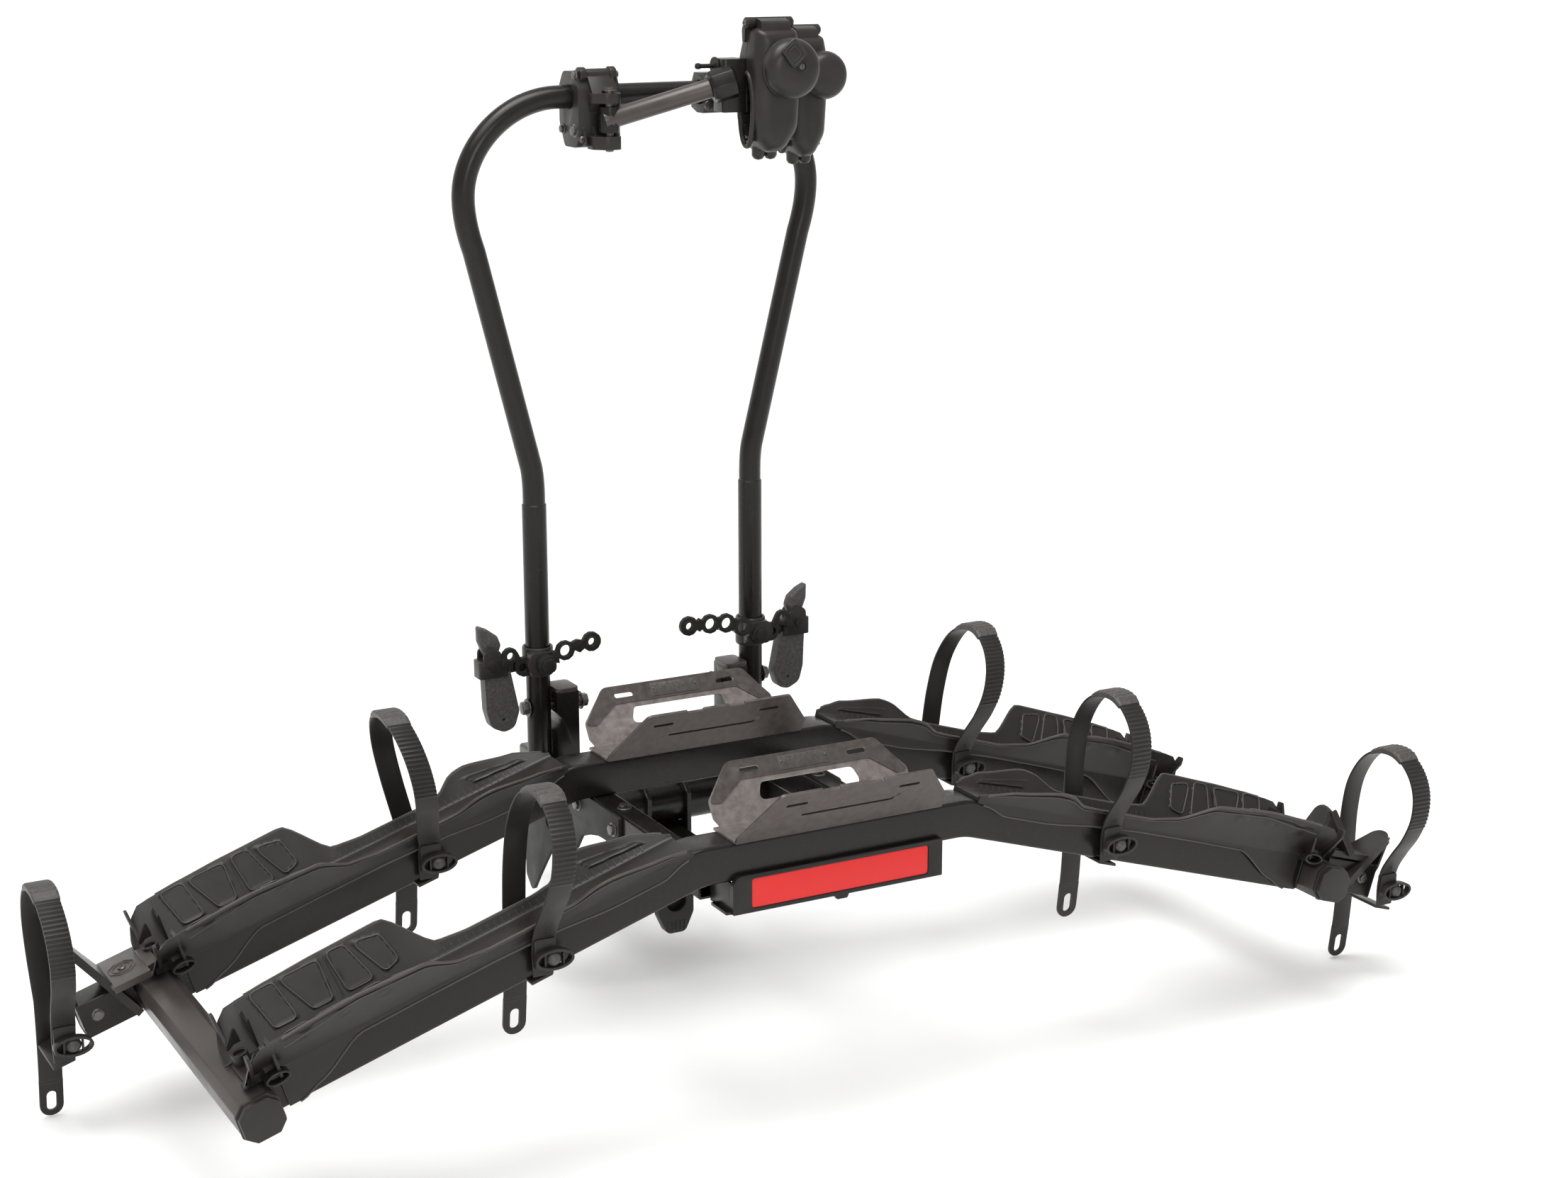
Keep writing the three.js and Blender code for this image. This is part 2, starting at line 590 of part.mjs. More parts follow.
// The open mouth between the two jaws, a long oval seen from the side.
function mouth(head, y) {
  const points = [];
  for (let i = 0; i < 20; i += 1) {
    const turn = (i / 20) * Math.PI * 2;
    points.push([y + 13 * Math.cos(turn), HEAD.mouthZ - head.drop + HEAD.mouthHalf * Math.sin(turn)]);
  }
  return prismX(points, head.x[0] - 20, head.x[1] + 20);
}

const pinOf = (head) => head.y + HEAD.jaw + 1;

function backJaw(head, extra) {
  const y = [head.y + HEAD.jaw + 1.5, head.y + 2 * HEAD.jaw + 2];
  const body = prismY(jawOutline(head), y[0], y[1]);
  const hinge = [head.x[0] - 2, head.x[1] - 2];
  const ends = [[hinge[0], hinge[0] + KNUCKLE.long], [hinge[1] - KNUCKLE.long, hinge[1]]];
  const knuckles = ends.flatMap((x) => [
    rod('x', KNUCKLE.r, x[0], x[1], pinOf(head), pinZ(head)),
    box(x, [pinOf(head), y[1]], [pinZ(head) - 14, pinZ(head)]),
  ]);
  const swing = rod('x', KNUCKLE.r + 1, ends[0][1], ends[1][0], pinOf(head), pinZ(head));
  const pin = rod('x', KNUCKLE.pin, hinge[0], hinge[1], pinOf(head), pinZ(head), 12);
  return joined([cut(joined([body, ...knuckles]), [mouth(head, pinOf(head)), swing]), pin, ...extra]);
}

function frontJaw(head) {
  const y = [head.y, head.y + HEAD.jaw + 0.5];
  const body = prismY(jawOutline(head), y[0], y[1]);
  const inset = KNUCKLE.long + 0.4;
  const hinge = [head.x[0] - 2 + inset, head.x[1] - 2 - inset];
  const knuckle = rod('x', KNUCKLE.r, hinge[0], hinge[1], pinOf(head), pinZ(head));
  const strap = box(hinge, [y[0] + 6, pinOf(head)], [pinZ(head) - 16, pinZ(head) + 4]);
  const ends = [[head.x[0] - 5, hinge[0]], [hinge[1], head.x[1] + 5]];
  const clear = ends.map((x) => rod('x', KNUCKLE.r + 1, x[0], x[1], pinOf(head), pinZ(head)));
  const pinBore = rod('x', KNUCKLE.pin + 0.5, 0, 300, pinOf(head), pinZ(head));
  const knobBore = rod('y', STEM.r + 0.5, y[0] - 5, y[0] + STEM.long + 2, head.knobX, knobZ(head));
  return cut(joined([cut(body, clear), knuckle, strap]), [mouth(head, pinOf(head)), pinBore, knobBore]);
}

function knob(head) {
  const y1 = head.y - 0.6;
  const y0 = head.y - HEAD.knobDepth;
  const profile = [
    [0, y0], [head.knobR - 14, y0], [head.knobR - 3, y0 + 4], [head.knobR, y0 + 11],
    [head.knobR, y1 - 5], [head.knobR - 4, y1], [STEM.r, y1], [STEM.r, y1 + STEM.long], [0, y1 + STEM.long],
  ];
  const lathe = new THREE.LatheGeometry(profile.map(([r, y]) => new THREE.Vector2(r, y)), FINE_CURVE);
  return solid(lathe.translate(head.knobX, 0, knobZ(head)));
}

function lockFlap() {
  const y1 = HEAD_1.y - HEAD.knobDepth - GAP;
  const outline = [[-26, 21], [-24, 26], [-11, 37], [-5, 37], [11, 21], [11, 15], [-5, 1], [-11, 1]];
  return prismY(outline.map(([x, z]) => [HEAD_1.knobX + x, HEAD.knobZ + z]), y1 - 4, y1);
}

function headCollar() {
  const from = new THREE.Vector3(...ARM.from);
  const to = new THREE.Vector3(...ARM.to);
  const along = to.clone().sub(from).normalize();
  const start = to.clone().addScaledVector(along, 0.5).toArray();
  const end = to.clone().addScaledVector(along, 34).toArray();
  const ring = bar(start, end, 24, 20);
  const boss = box([74, HEAD_1.x[0] + 3], [56, 90], [782, 846]);
  return [ring, boss];
}

function clampBlockRight() {
  const outline = [
    [124, 786], [124, 818], [134, 826], [158, 826], [166, 812], [166, 782], [150, 776], [134, 776],
  ];
  const body = prismX(outline, 84, 111);
  const web = box([92, 111], [108, 126], [792, 818]);
  const boom = box([100, HEAD_2.x[0] - 1.5], [104, 122], [794, 816]);
  return cut(joined([body, web, boom]), [barBore(60, 150)]);
}

// ---- wheel straps ----
// The loop of a ladder strap: up the front, over the tyre, down the back and on into the hanging tail.
const STRAP_LINE = [
  [-33, -46], [-34, -20], [-40, 6], [-56, 32], [-76, 60], [-90, 92], [-91, 124], [-78, 150],
  [-52, 167], [-20, 165], [10, 147], [34, 110], [44, 64], [46, 16], [45, -30], [48, -88], [56, -150],
];
const STRAP_TOP = 167;
// How far the top of each loop leans outward along the rack.
const STRAP_LEAN = { back_left: 44, back_right: 20, front_left: -4, front_right: 0, left: 14, right: 0 };

// The outline of the finger ring on the front of each strap.
const RING = [[-23, -5], [-14, -12], [14, -12], [23, -5], [23, 5], [14, 12], [-14, 12], [-23, 5]];

function leaned(geometry, groundZ, lean) {
  const points = geometry.attributes.position;
  for (let i = 0; i < points.count; i += 1) {
    const share = Math.max(points.getZ(i) - groundZ, 0) / STRAP_TOP;
    points.setX(i, points.getX(i) + lean * share);
  }
  return geometry;
}

// The ring always sits to the rack's right of the strap, so it swaps sides on a mirrored strap.
function wheelStrap(x, groundZ, baseLow, lean, side) {
  const curve = new THREE.SplineCurve(STRAP_LINE.map(([y, z]) => new THREE.Vector2(y, z + groundZ)));
  const line = curve.getPoints(30).map((p) => p.toArray());
  const half = STRAP_WIDTH / 2;
  const band = extruded(stripOutline(line, STRAP_THICK), 2 * half).applyMatrix4(YZ_TO_SPACE);
  band.translate(x - half, 0, 0);
  const ribbon = solid(leaned(band, groundZ, lean));
  const slot = box([x - 5, x + 5], [40, 70], [groundZ - 140, groundZ - 110]);
  const slope = Math.tan(DROOP) * 10;
  const under = groundZ + baseLow;
  const saddle = prismY([
    [x - 10, under - 4 + slope], [x + 10, under - 4 - slope], [x + 10, under - slope], [x - 10, under + slope],
  ], -34, 47);
  const ring = prismY(RING.map(([u, v]) => [x + side * 8 + u, groundZ - 24 + v]), -50, -34.5);
  return joined([cut(ribbon, [slot]), saddle, ring]);
}

// ---- pull-out wheel extensions, in the wing frame ----
// Each is a channel with a flared arm that leans outward and a brace behind it. The right one stands
// further out, with its inner ear raised; the left one's inner ear lies flat in the tray's mouth.
// A plate runs between two edges, each given as run, height and half width.
const PULL_OUTS = {
  left: {
    end: 652,
    plates: [
      [[586, -30, 38], [637, 82, 13]],
      [[547, 13, 24], [562, 13, 28]],
      [[561, 13, 40], [609, 13, 40]],
    ],
    brace: [[636, 78], [648, 29], [650, -38]],
  },
  right: {
    end: 668,
    plates: [
      [[612, -20, 36], [684, 46, 13]],
      [[549, 14, 20], [568, 66, 12]],
      [[567, 66, 12], [608, 12, 30]],
      [[584, 13, 22], [651, 13, 22]],
    ],
    brace: [[682, 42], [677, 0], [662, -38]],
  },
};

function flaredPlate([r0, h0, w0], [r1, h1, w1]) {
  const thick = 3.2 * Math.hypot(r1 - r0, h1 - h0) / (r1 - r0);
  const section = (r, h, w) => [[r, w, h - thick], [r, w, h], [r, -w, h], [r, -w, h - thick]];
  return solid(loft([section(r0, h0, w0), section(r1, h1, w1)]));
}

function extension({ end, plates, brace }) {
  const tongue = box([455, 588], [-15, 15], [-31, -15]);
  const channel = cut(box([583.6, end], [-20, 20], [-40, 4]), [box([590, end + 9], [-17, 17], [-36, 13])]);
  const strut = prismY(stripOutline(brace, 3.2), -13, 13);
  return joined([tongue, channel, strut, ...plates.map(([a, b]) => flaredPlate(a, b))]);
}

// ---- assembly ----
for (const [name, y] of [['back_beam', 0], ['front_beam', -BEAM_PITCH]]) {
  place(name, beam(), finish.steel).position.y = y;
}
for (const [name, y] of [['back_cradle', 0], ['front_cradle', -BEAM_PITCH]]) {
  place(name, cradle(), finish.sheet).position.y = y;
}
for (const [wing, group] of Object.entries(wings)) {
  place(`tray_${wing}`, tray(), finish.tray, wing.endsWith('left') ? -1 : 1, group);
}
for (const [sideName, side] of [['left', -1], ['right', 1]]) {
  const origin = wings[`back_${sideName}`];
  const pullOutY = side < 0 ? 0 : -BEAM_PITCH;
  place(`side_rail_${sideName}`, rail(), finish.steel, side);
  place(`gusset_${sideName}`, gusset(), finish.sheet, side);
  place(`end_tube_${sideName}`, endTube(pullOutY), finish.steel, side, origin);
  place(`front_cap_${sideName}`, endCap(true), finish.clamp, side, origin);
  place(`back_cap_${sideName}`, endCap(false), finish.clamp, side, origin);
  place(`hoop_post_${sideName}`, hoopPost(), finish.steel, side);
  place(`hoop_pivot_bolt_${sideName}`, pivotBolt(), finish.bolt, side);
  place(`leg_collar_${sideName}`, legCollar(), finish.clamp, side);
  place(`strap_anchor_${sideName}`, strapAnchor(), finish.paddle, side);
  place(`cam_blade_${sideName}`, camBlade(), finish.paddle, side);
  place(`strap_tail_${sideName}`, strapTail(TAIL_HOLES[sideName]), finish.rubber, side);
  place(`clevis_plate_${sideName}`, clevisPlate(), finish.sheet, side);
}
place('extension_left', extension(PULL_OUTS.left), finish.steel, -1, wings.back_left);
place('extension_right', extension(PULL_OUTS.right), finish.steel, 1, wings.front_right);
place('pivot_tube', pivotTube(), finish.steel);
place('release_pedal', releasePedal(), finish.rubber);
place('hitch_bar', hitchBar(), finish.steel);
place('hitch_pin', hitchPin(), finish.bolt);
place('hitch_clip', hitchClip(), finish.bolt);
place('tilt_lock_pin', lockPin(), finish.bolt);
place('reflector_housing', reflectorHousing(), finish.steel);
place('reflector', reflector(), finish.red);
place('hoop', hoop(), finish.steel);
place('clamp_block_left', clampBlockLeft(), finish.clamp);
place('clamp_arm', clampArm(), finish.arm);
place('back_jaw_1', backJaw(HEAD_1, headCollar()), finish.clamp);
place('front_jaw_1', frontJaw(HEAD_1), finish.clamp);
place('knob_1', knob(HEAD_1), finish.clamp);
place('lock_flap', lockFlap(), finish.clamp);
place('clamp_block_right', clampBlockRight(), finish.clamp);
place('back_jaw_2', backJaw(HEAD_2, []), finish.clamp);
place('front_jaw_2', frontJaw(HEAD_2), finish.clamp);
place('knob_2', knob(HEAD_2), finish.clamp);

// Ladder straps: one on each wing of each beam, and one on each pull-out extension.
const wingTop = (x) => wingPoint(0, 0)[1] - (x - wingPoint(0, 0)[0]) * Math.tan(DROOP);
const strapUnder = -BEAM_HEIGHT / Math.cos(DROOP) - 1.2;
for (const wing of Object.keys(wings)) {
  const side = wing.endsWith('left') ? -1 : 1;
  const strap = wheelStrap(STRAP_X.inner, wingTop(STRAP_X.inner), strapUnder, STRAP_LEAN[wing], side);
  place(`wheel_strap_${wing}`, strap, finish.strap, side).position.y = wing.startsWith('front') ? -BEAM_PITCH : 0;
}
for (const [sideName, side, beamY] of [['left', -1, 0], ['right', 1, -BEAM_PITCH]]) {
  const strap = wheelStrap(STRAP_X.outer, wingTop(STRAP_X.outer), strapUnder, STRAP_LEAN[sideName], side);
  place(`outer_strap_${sideName}`, strap, finish.strap, side).position.y = beamY;
}

const part = new THREE.Group();
part.add(rack);
rack.position.set(0, -HITCH_PIN.y, -HITCH_TOP);

export default part;
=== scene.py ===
# Hitch mounted bike rack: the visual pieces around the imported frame.
import math

import bmesh
import bpy
from mathutils import Matrix, Vector
from mathutils.geometry import tessellate_polygon


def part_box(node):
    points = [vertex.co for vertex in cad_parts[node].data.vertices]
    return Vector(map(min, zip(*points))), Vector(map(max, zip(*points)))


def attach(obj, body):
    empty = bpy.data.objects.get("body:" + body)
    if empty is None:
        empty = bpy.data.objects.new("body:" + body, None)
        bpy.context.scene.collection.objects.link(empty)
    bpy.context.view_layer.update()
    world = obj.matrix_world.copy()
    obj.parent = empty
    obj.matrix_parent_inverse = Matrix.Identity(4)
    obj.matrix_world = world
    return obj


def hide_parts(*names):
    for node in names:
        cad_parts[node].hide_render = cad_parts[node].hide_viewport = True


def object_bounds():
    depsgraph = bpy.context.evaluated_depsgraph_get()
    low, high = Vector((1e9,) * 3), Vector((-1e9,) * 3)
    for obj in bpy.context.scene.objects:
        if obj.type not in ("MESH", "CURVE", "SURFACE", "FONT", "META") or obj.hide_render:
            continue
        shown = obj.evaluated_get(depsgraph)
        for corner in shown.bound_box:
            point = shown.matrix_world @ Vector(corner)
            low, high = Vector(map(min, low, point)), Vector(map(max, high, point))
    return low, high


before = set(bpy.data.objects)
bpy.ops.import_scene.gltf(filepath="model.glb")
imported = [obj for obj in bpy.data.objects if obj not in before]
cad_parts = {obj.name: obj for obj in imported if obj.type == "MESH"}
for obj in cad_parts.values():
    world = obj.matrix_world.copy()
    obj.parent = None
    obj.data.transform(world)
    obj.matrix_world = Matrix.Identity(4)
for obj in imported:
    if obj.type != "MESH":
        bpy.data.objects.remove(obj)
cad_box = [list(corner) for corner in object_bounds()]

MM = 0.001
beam_low, beam_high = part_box("back_beam")
ORIGIN = Vector(((beam_low.x + beam_high.x) / 2, (beam_low.y + beam_high.y) / 2, beam_high.z))


def mm_box(node):
    """A CAD node's lowest and highest corners in layout millimetres."""
    return [(corner - ORIGIN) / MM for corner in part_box(node)]


# ---- driving dimensions, in millimetres ----
PITCH = -mm_box("front_beam")[1].y + mm_box("back_beam")[1].y
BEAM_HALF = 25.0
BEAM_HEIGHT = 45.7
DROOP = math.radians(17.5)
BEND_X = 178.0
BEND_Z = -20.5
BEND_SOFT = 12.0
WING_END = 534.6
TUBE_RUN = (535.0, 583.0)
TUBE_Y = (-398.0, 38.0)
TUBE_H = (-45.0, -0.4)
HOOP_Y = 143.0
HOOP_R = 14.3
LEG_X = 154.4
SLEEVE_R = 15.6
STRAP_HALF = 14.0
STRAP_THICK = 3.0
UP = Vector((0, 0, 1))
ACROSS = Vector((1, 0, 0))
FORWARD = Vector((0, 1, 0))
FACING = Vector((0, -1, 0))
SIDES = (("left", -1), ("right", 1))
EXTENSION_SIDES = (("left", -1, 0.0), ("right", 1, -PITCH))
WINGS = [(f"{row}_{name}", side, y) for row, y in (("back", 0.0), ("front", -PITCH)) for name, side in SIDES]


# ---- closed solids as plain points and faces ----
class Solid:
    def __init__(self, points=(), faces=()):
        self.points = [Vector(p) for p in points]
        self.faces = [list(f) for f in faces]

    def __add__(self, other):
        start = len(self.points)
        faces = self.faces + [[i + start for i in f] for f in other.faces]
        return Solid(self.points + other.points, faces)

    def moved(self, matrix):
        return Solid([matrix @ p for p in self.points], self.faces)

    def shifted(self, x=0.0, y=0.0, z=0.0):
        return self.moved(Matrix.Translation((x, y, z)))


def joined(solids):
    whole = Solid()
    for solid in solids:
        whole = whole + solid
    return whole


def loft(rings, closed=False):
    """A skin over rings with the same number of points. Closed joins the last ring to the first."""
    count = len(rings[0])
    total = len(rings)
    faces = []
    for i in range(total if closed else total - 1):
        this, after = i * count, (i + 1) % total * count
        for j in range(count):
            k = (j + 1) % count
            faces.append([this + j, this + k, after + k, after + j])
    if not closed:
        faces.append(list(range(count))[::-1])
        faces.append([(total - 1) * count + j for j in range(count)])
    return Solid([p for ring in rings for p in ring], faces)


PLACES = {
    "x": lambda u, v, w: (w, u, v),
    "y": lambda u, v, w: (u, w, v),
    "z": lambda u, v, w: (u, v, w),
}


def prism(axis, outline, start, end, holes=()):
    """An outline, with holes, pushed along an axis. It is drawn in YZ for x, XZ for y and XY for z."""
    place = PLACES[axis]
    loops = [outline, *holes]
    flat = [p for loop in loops for p in loop]
    count = len(flat)
    points = [place(u, v, start) for u, v in flat] + [place(u, v, end) for u, v in flat]
    lid = tessellate_polygon([[Vector((u, v, 0)) for u, v in loop] for loop in loops])
    faces = [list(f) for f in lid] + [[i + count for i in f] for f in lid]
    first = 0
    for loop in loops:
        for j in range(len(loop)):
            a, b = first + j, first + (j + 1) % len(loop)
            faces.append([a, b, b + count, a + count])
        first += len(loop)
    return Solid(points, faces)


def rounded(corners, radius, steps=4):
    """A closed outline whose corners are turned into soft arcs. A corner may carry its own radius."""
    outline = []
    for i, corner in enumerate(corners):
        here = Vector(corner[:2])
        reach = corner[2] if len(corner) > 2 else radius
        before = Vector(corners[i - 1][:2]) - here
        after = Vector(corners[(i + 1) % len(corners)][:2]) - here
        opening = max(before.angle(after), 0.05)
        trim = min(reach / math.tan(opening / 2), 0.48 * before.length, 0.48 * after.length)
        a = here + before.normalized() * trim
        b = here + after.normalized() * trim
        for k in range(steps + 1):
            t = k / steps
            outline.append(tuple(a * (1 - t) ** 2 + here * 2 * t * (1 - t) + b * t**2))
    return outline


def rectangle(u, v, radius=0.0, steps=4):
    corners = [(u[0], v[0]), (u[1], v[0]), (u[1], v[1]), (u[0], v[1])]
    return rounded(corners, radius, steps) if radius else corners


def circle(centre, radius, steps=24, tall=1.0):
    turns = [2 * math.pi * i / steps for i in range(steps)]
    return [(centre[0] + radius * math.cos(t), centre[1] + radius * tall * math.sin(t)) for t in turns]


def stadium(centre, length, width, angle=0.0, steps=6):
    """A slot outline with round ends."""
    reach = (length - width) / 2
    outline = []
    for end in (1, -1):
        for k in range(steps + 1):
            t = math.pi * (k / steps - 0.5) + (0 if end > 0 else math.pi)
            u = end * reach + width / 2 * math.cos(t)
            v = width / 2 * math.sin(t)
            outline.append((
                centre[0] + u * math.cos(angle) - v * math.sin(angle),
                centre[1] + u * math.sin(angle) + v * math.cos(angle),
            ))
    return outline


def box(x, y, z):
    return prism("z", rectangle(x, y), z[0], z[1])


def at(point, direction):
    """The matrix that stands a shape's own Z axis at a point, along a direction."""
    turn = Vector(direction).to_track_quat("Z", "Y").to_matrix().to_4x4()
    return Matrix.Translation(point) @ turn


def turned(profile, steps=32):
    """A profile of (radius, height) turned about Z, with flat ends."""
    turns = [2 * math.pi * i / steps for i in range(steps)]
    return loft([[(r * math.cos(t), r * math.sin(t), h) for t in turns] for r, h in profile])


def ring_of(section, steps=40):
    """A closed section of (radius, height) turned about Z into a ring."""
    turns = [2 * math.pi * i / steps for i in range(steps)]
    return loft([[(r * math.cos(t), r * math.sin(t), h) for r, h in section] for t in turns], closed=True)


def rod(start, end, radius, steps=24, edge=0.8):
    """A round bar between two points, with small chamfers."""
    start, end = Vector(start), Vector(end)
    length = (end - start).length
    profile = [(radius - edge, 0), (radius, edge), (radius, length - edge), (radius - edge, length)]
    return turned(profile, steps).moved(at(start, end - start))


def sweep(path, section, side, closed=False):
    """A section carried along a flat path. Section points are (along side, along the path's normal)."""
    rings = []
    last = len(path) - 1
    for i, point in enumerate(path):
        if closed:
            tangent = path[(i + 1) % len(path)] - path[i - 1]
        else:
            tangent = path[min(i + 1, last)] - path[max(i - 1, 0)]
        normal = side.cross(tangent).normalized()
        shape = section(i / last) if callable(section) else section
        rings.append([point + side * a + normal * b for a, b in shape])
    return loft(rings, closed)


def hexagon(radius):
    return circle((0, 0), radius, 6)


def bolt(point, direction, radius=5.0, height=4.0):
    """A flanged hex bolt head that stands on a surface."""
    head = prism("z", rounded(hexagon(radius), radius * 0.12, 2), 0.8, height)
    washer = turned([(radius * 1.35, -0.6), (radius * 1.35, 0.6), (radius * 1.15, 1.2)], 24)
    return (head + washer).moved(at(point, direction))


def button(point, direction, radius=4.5, height=2.6):
    """A button head screw with a sunk socket."""
    sunk = height * 0.45
    rings = [
        (radius, -0.6), (radius, height * 0.35), (radius * 0.82, height * 0.8), (radius * 0.6, height),
        (radius * 0.42, height), (radius * 0.4, height - sunk), (radius * 0.1, height - sunk),
    ]
    return turned(rings, 20).moved(at(point, direction))


def smooth_line(points, steps):
    """A Catmull-Rom line through the points, with a number of steps in each stretch."""
    line = []
    for i in range(len(points) - 1):
        p = [Vector(points[min(max(i + k, 0), len(points) - 1)]) for k in (-1, 0, 1, 2)]
        for k in range(steps):
            t = k / steps
            a = (p[2] - p[0]) * 0.5
            b = (p[3] - p[1]) * 0.5
            cubic = (p[1] - p[2]) * 2 + a + b
            square = (p[2] - p[1]) * 3 - a * 2 - b
            line.append(p[1] + a * t + square * t**2 + cubic * t**3)
    line.append(Vector(points[-1]))
    return line


def carved(solid, cutters):
    """The solid less the cutters, by an exact boolean."""
    holder = mesh_object("carving", solid)
    tools = [mesh_object("cutter", cutter) for cutter in cutters]
    for tool in tools:
        modifier = holder.modifiers.new("cut", "BOOLEAN")
        modifier.operation = "DIFFERENCE"
        modifier.solver = "EXACT"
        modifier.object = tool
    result = holder.evaluated_get(bpy.context.evaluated_depsgraph_get()).to_mesh()
    carved_solid = Solid([v.co for v in result.vertices], [list(p.vertices) for p in result.polygons])
    for made in [holder, *tools]:
        mesh = made.data
        bpy.data.objects.remove(made)
        bpy.data.meshes.remove(mesh)
    return carved_solid


def mesh_object(name, solid):
    bm = bmesh.new()
    vertices = [bm.verts.new(p) for p in solid.points]
    for face in solid.faces:
        if len(set(face)) > 2:
            bm.faces.new([vertices[i] for i in face])
    bmesh.ops.remove_doubles(bm, verts=bm.verts, dist=0.001)
    bmesh.ops.recalc_face_normals(bm, faces=bm.faces)
    mesh = bpy.data.meshes.new(name)
    bm.to_mesh(mesh)
    bm.free()
    made = bpy.data.objects.new(name, mesh)
    bpy.context.scene.collection.objects.link(made)
    return made


def round_edges(bm, width, segments, sharp):
    """Bevels every edge whose faces meet at more than the sharp angle."""
    bmesh.ops.dissolve_limit(bm, angle_limit=0.01, verts=bm.verts, edges=bm.edges)
    edges = [e for e in bm.edges if len(e.link_faces) == 2 and e.calc_face_angle(0.0) > sharp]
    if edges:
        bmesh.ops.bevel(bm, geom=edges, offset=width, segments=segments, profile=0.6,
                        affect="EDGES", clamp_overlap=True)


def finish(name, solid, body, look, nodes=(), bevel=0.0, side=1, sharp=30, smooth=32, segments=2):
    """Makes the piece in metres, mirrors it for side -1, fastens it to its body and hides the CAD nodes it
    stands in for.
    """
    made = mesh_object(name, solid)
    bm = bmesh.new()
    bm.from_mesh(made.data)
    if bevel:
        round_edges(bm, bevel, segments, math.radians(sharp))
    for vertex in bm.verts:
        x, y, z = vertex.co
        vertex.co = Vector((side * x, y, z)) * MM + ORIGIN
    bmesh.ops.recalc_face_normals(bm, faces=bm.faces)
    bm.to_mesh(made.data)
    bm.free()
    made.data.polygons.foreach_set("use_smooth", [True] * len(made.data.polygons))
    made.data.set_sharp_from_angle(angle=math.radians(smooth))
    made.data.materials.append(LOOKS[look])
    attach(made, body)
    if nodes:
        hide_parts(*nodes)
    return made


def finish_pair(name, solid, body, look, node=None, **style):
    """The right-hand piece and its mirror image on the left, each in place of its own CAD node."""
    for where, side in SIDES:
        nodes = [f"{node}_{where}"] if node else []
        finish(f"{name}_{where}", solid, body, look, nodes, side=side, **style)


def refined(node):
    """A CAD node's own surface as a solid in layout millimetres."""
    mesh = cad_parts[node].data
    points = [(v.co - ORIGIN) / MM for v in mesh.vertices]
    return Solid(points, [list(p.vertices) for p in mesh.polygons])


# ---- materials ----
# Sharp turn range and radius of the edge mask for the painted edge highlight, which is partly edge wear.
SHARP_TURN = (0.86, 0.985)
WEAR_AND_HIGHLIGHT_MM = 0.9
BUMP_MM = 0.12
PRISM_MM = 2.4


def node(tree, kind, **inputs):
    made = tree.nodes.new(kind)
    for key, value in inputs.items():
        socket = made.inputs[key.replace("_", " ")]
        if isinstance(value, bpy.types.NodeSocket):
            tree.links.new(value, socket)
        else:
            socket.default_value = value
    return made


def spread(tree, value, low, high, start=0.3, end=0.7):
    """Maps a noise value onto a range."""
    made = node(
        tree, "ShaderNodeMapRange", Value=value, From_Min=start, From_Max=end, To_Min=low, To_Max=high,
    )
    return made.outputs["Result"]


def combined(tree, kind, operation, first, second):
    """A maths node that joins a socket with another socket or with a number."""
    made = tree.nodes.new(kind)
    made.operation = operation
    tree.links.new(first, made.inputs[0])
    if isinstance(second, bpy.types.NodeSocket):
        tree.links.new(second, made.inputs[1])
    else:
        made.inputs[1].default_value = second
    return made


def wear_and_highlight_mask(tree, radius):
    """White where a surface turns sharply: the mask for the painted edge highlight, which is partly edge
    wear.
    """
    soft = node(tree, "ShaderNodeBevel", Radius=radius)
    soft.samples = 3
    plain = tree.nodes.new("ShaderNodeNewGeometry")
    dot = combined(
        tree, "ShaderNodeVectorMath", "DOT_PRODUCT", soft.outputs["Normal"], plain.outputs["Normal"],
    )
    return spread(tree, dot.outputs["Value"], 1.0, 0.0, *SHARP_TURN)


def blank_material(name):
    """A new material, its node tree, its shader and the object coordinates."""
    material = bpy.data.materials.new(name)
    material.use_nodes = True
    tree = material.node_tree
    place = tree.nodes.new("ShaderNodeTexCoord").outputs["Object"]
    return material, tree, tree.nodes["Principled BSDF"], place


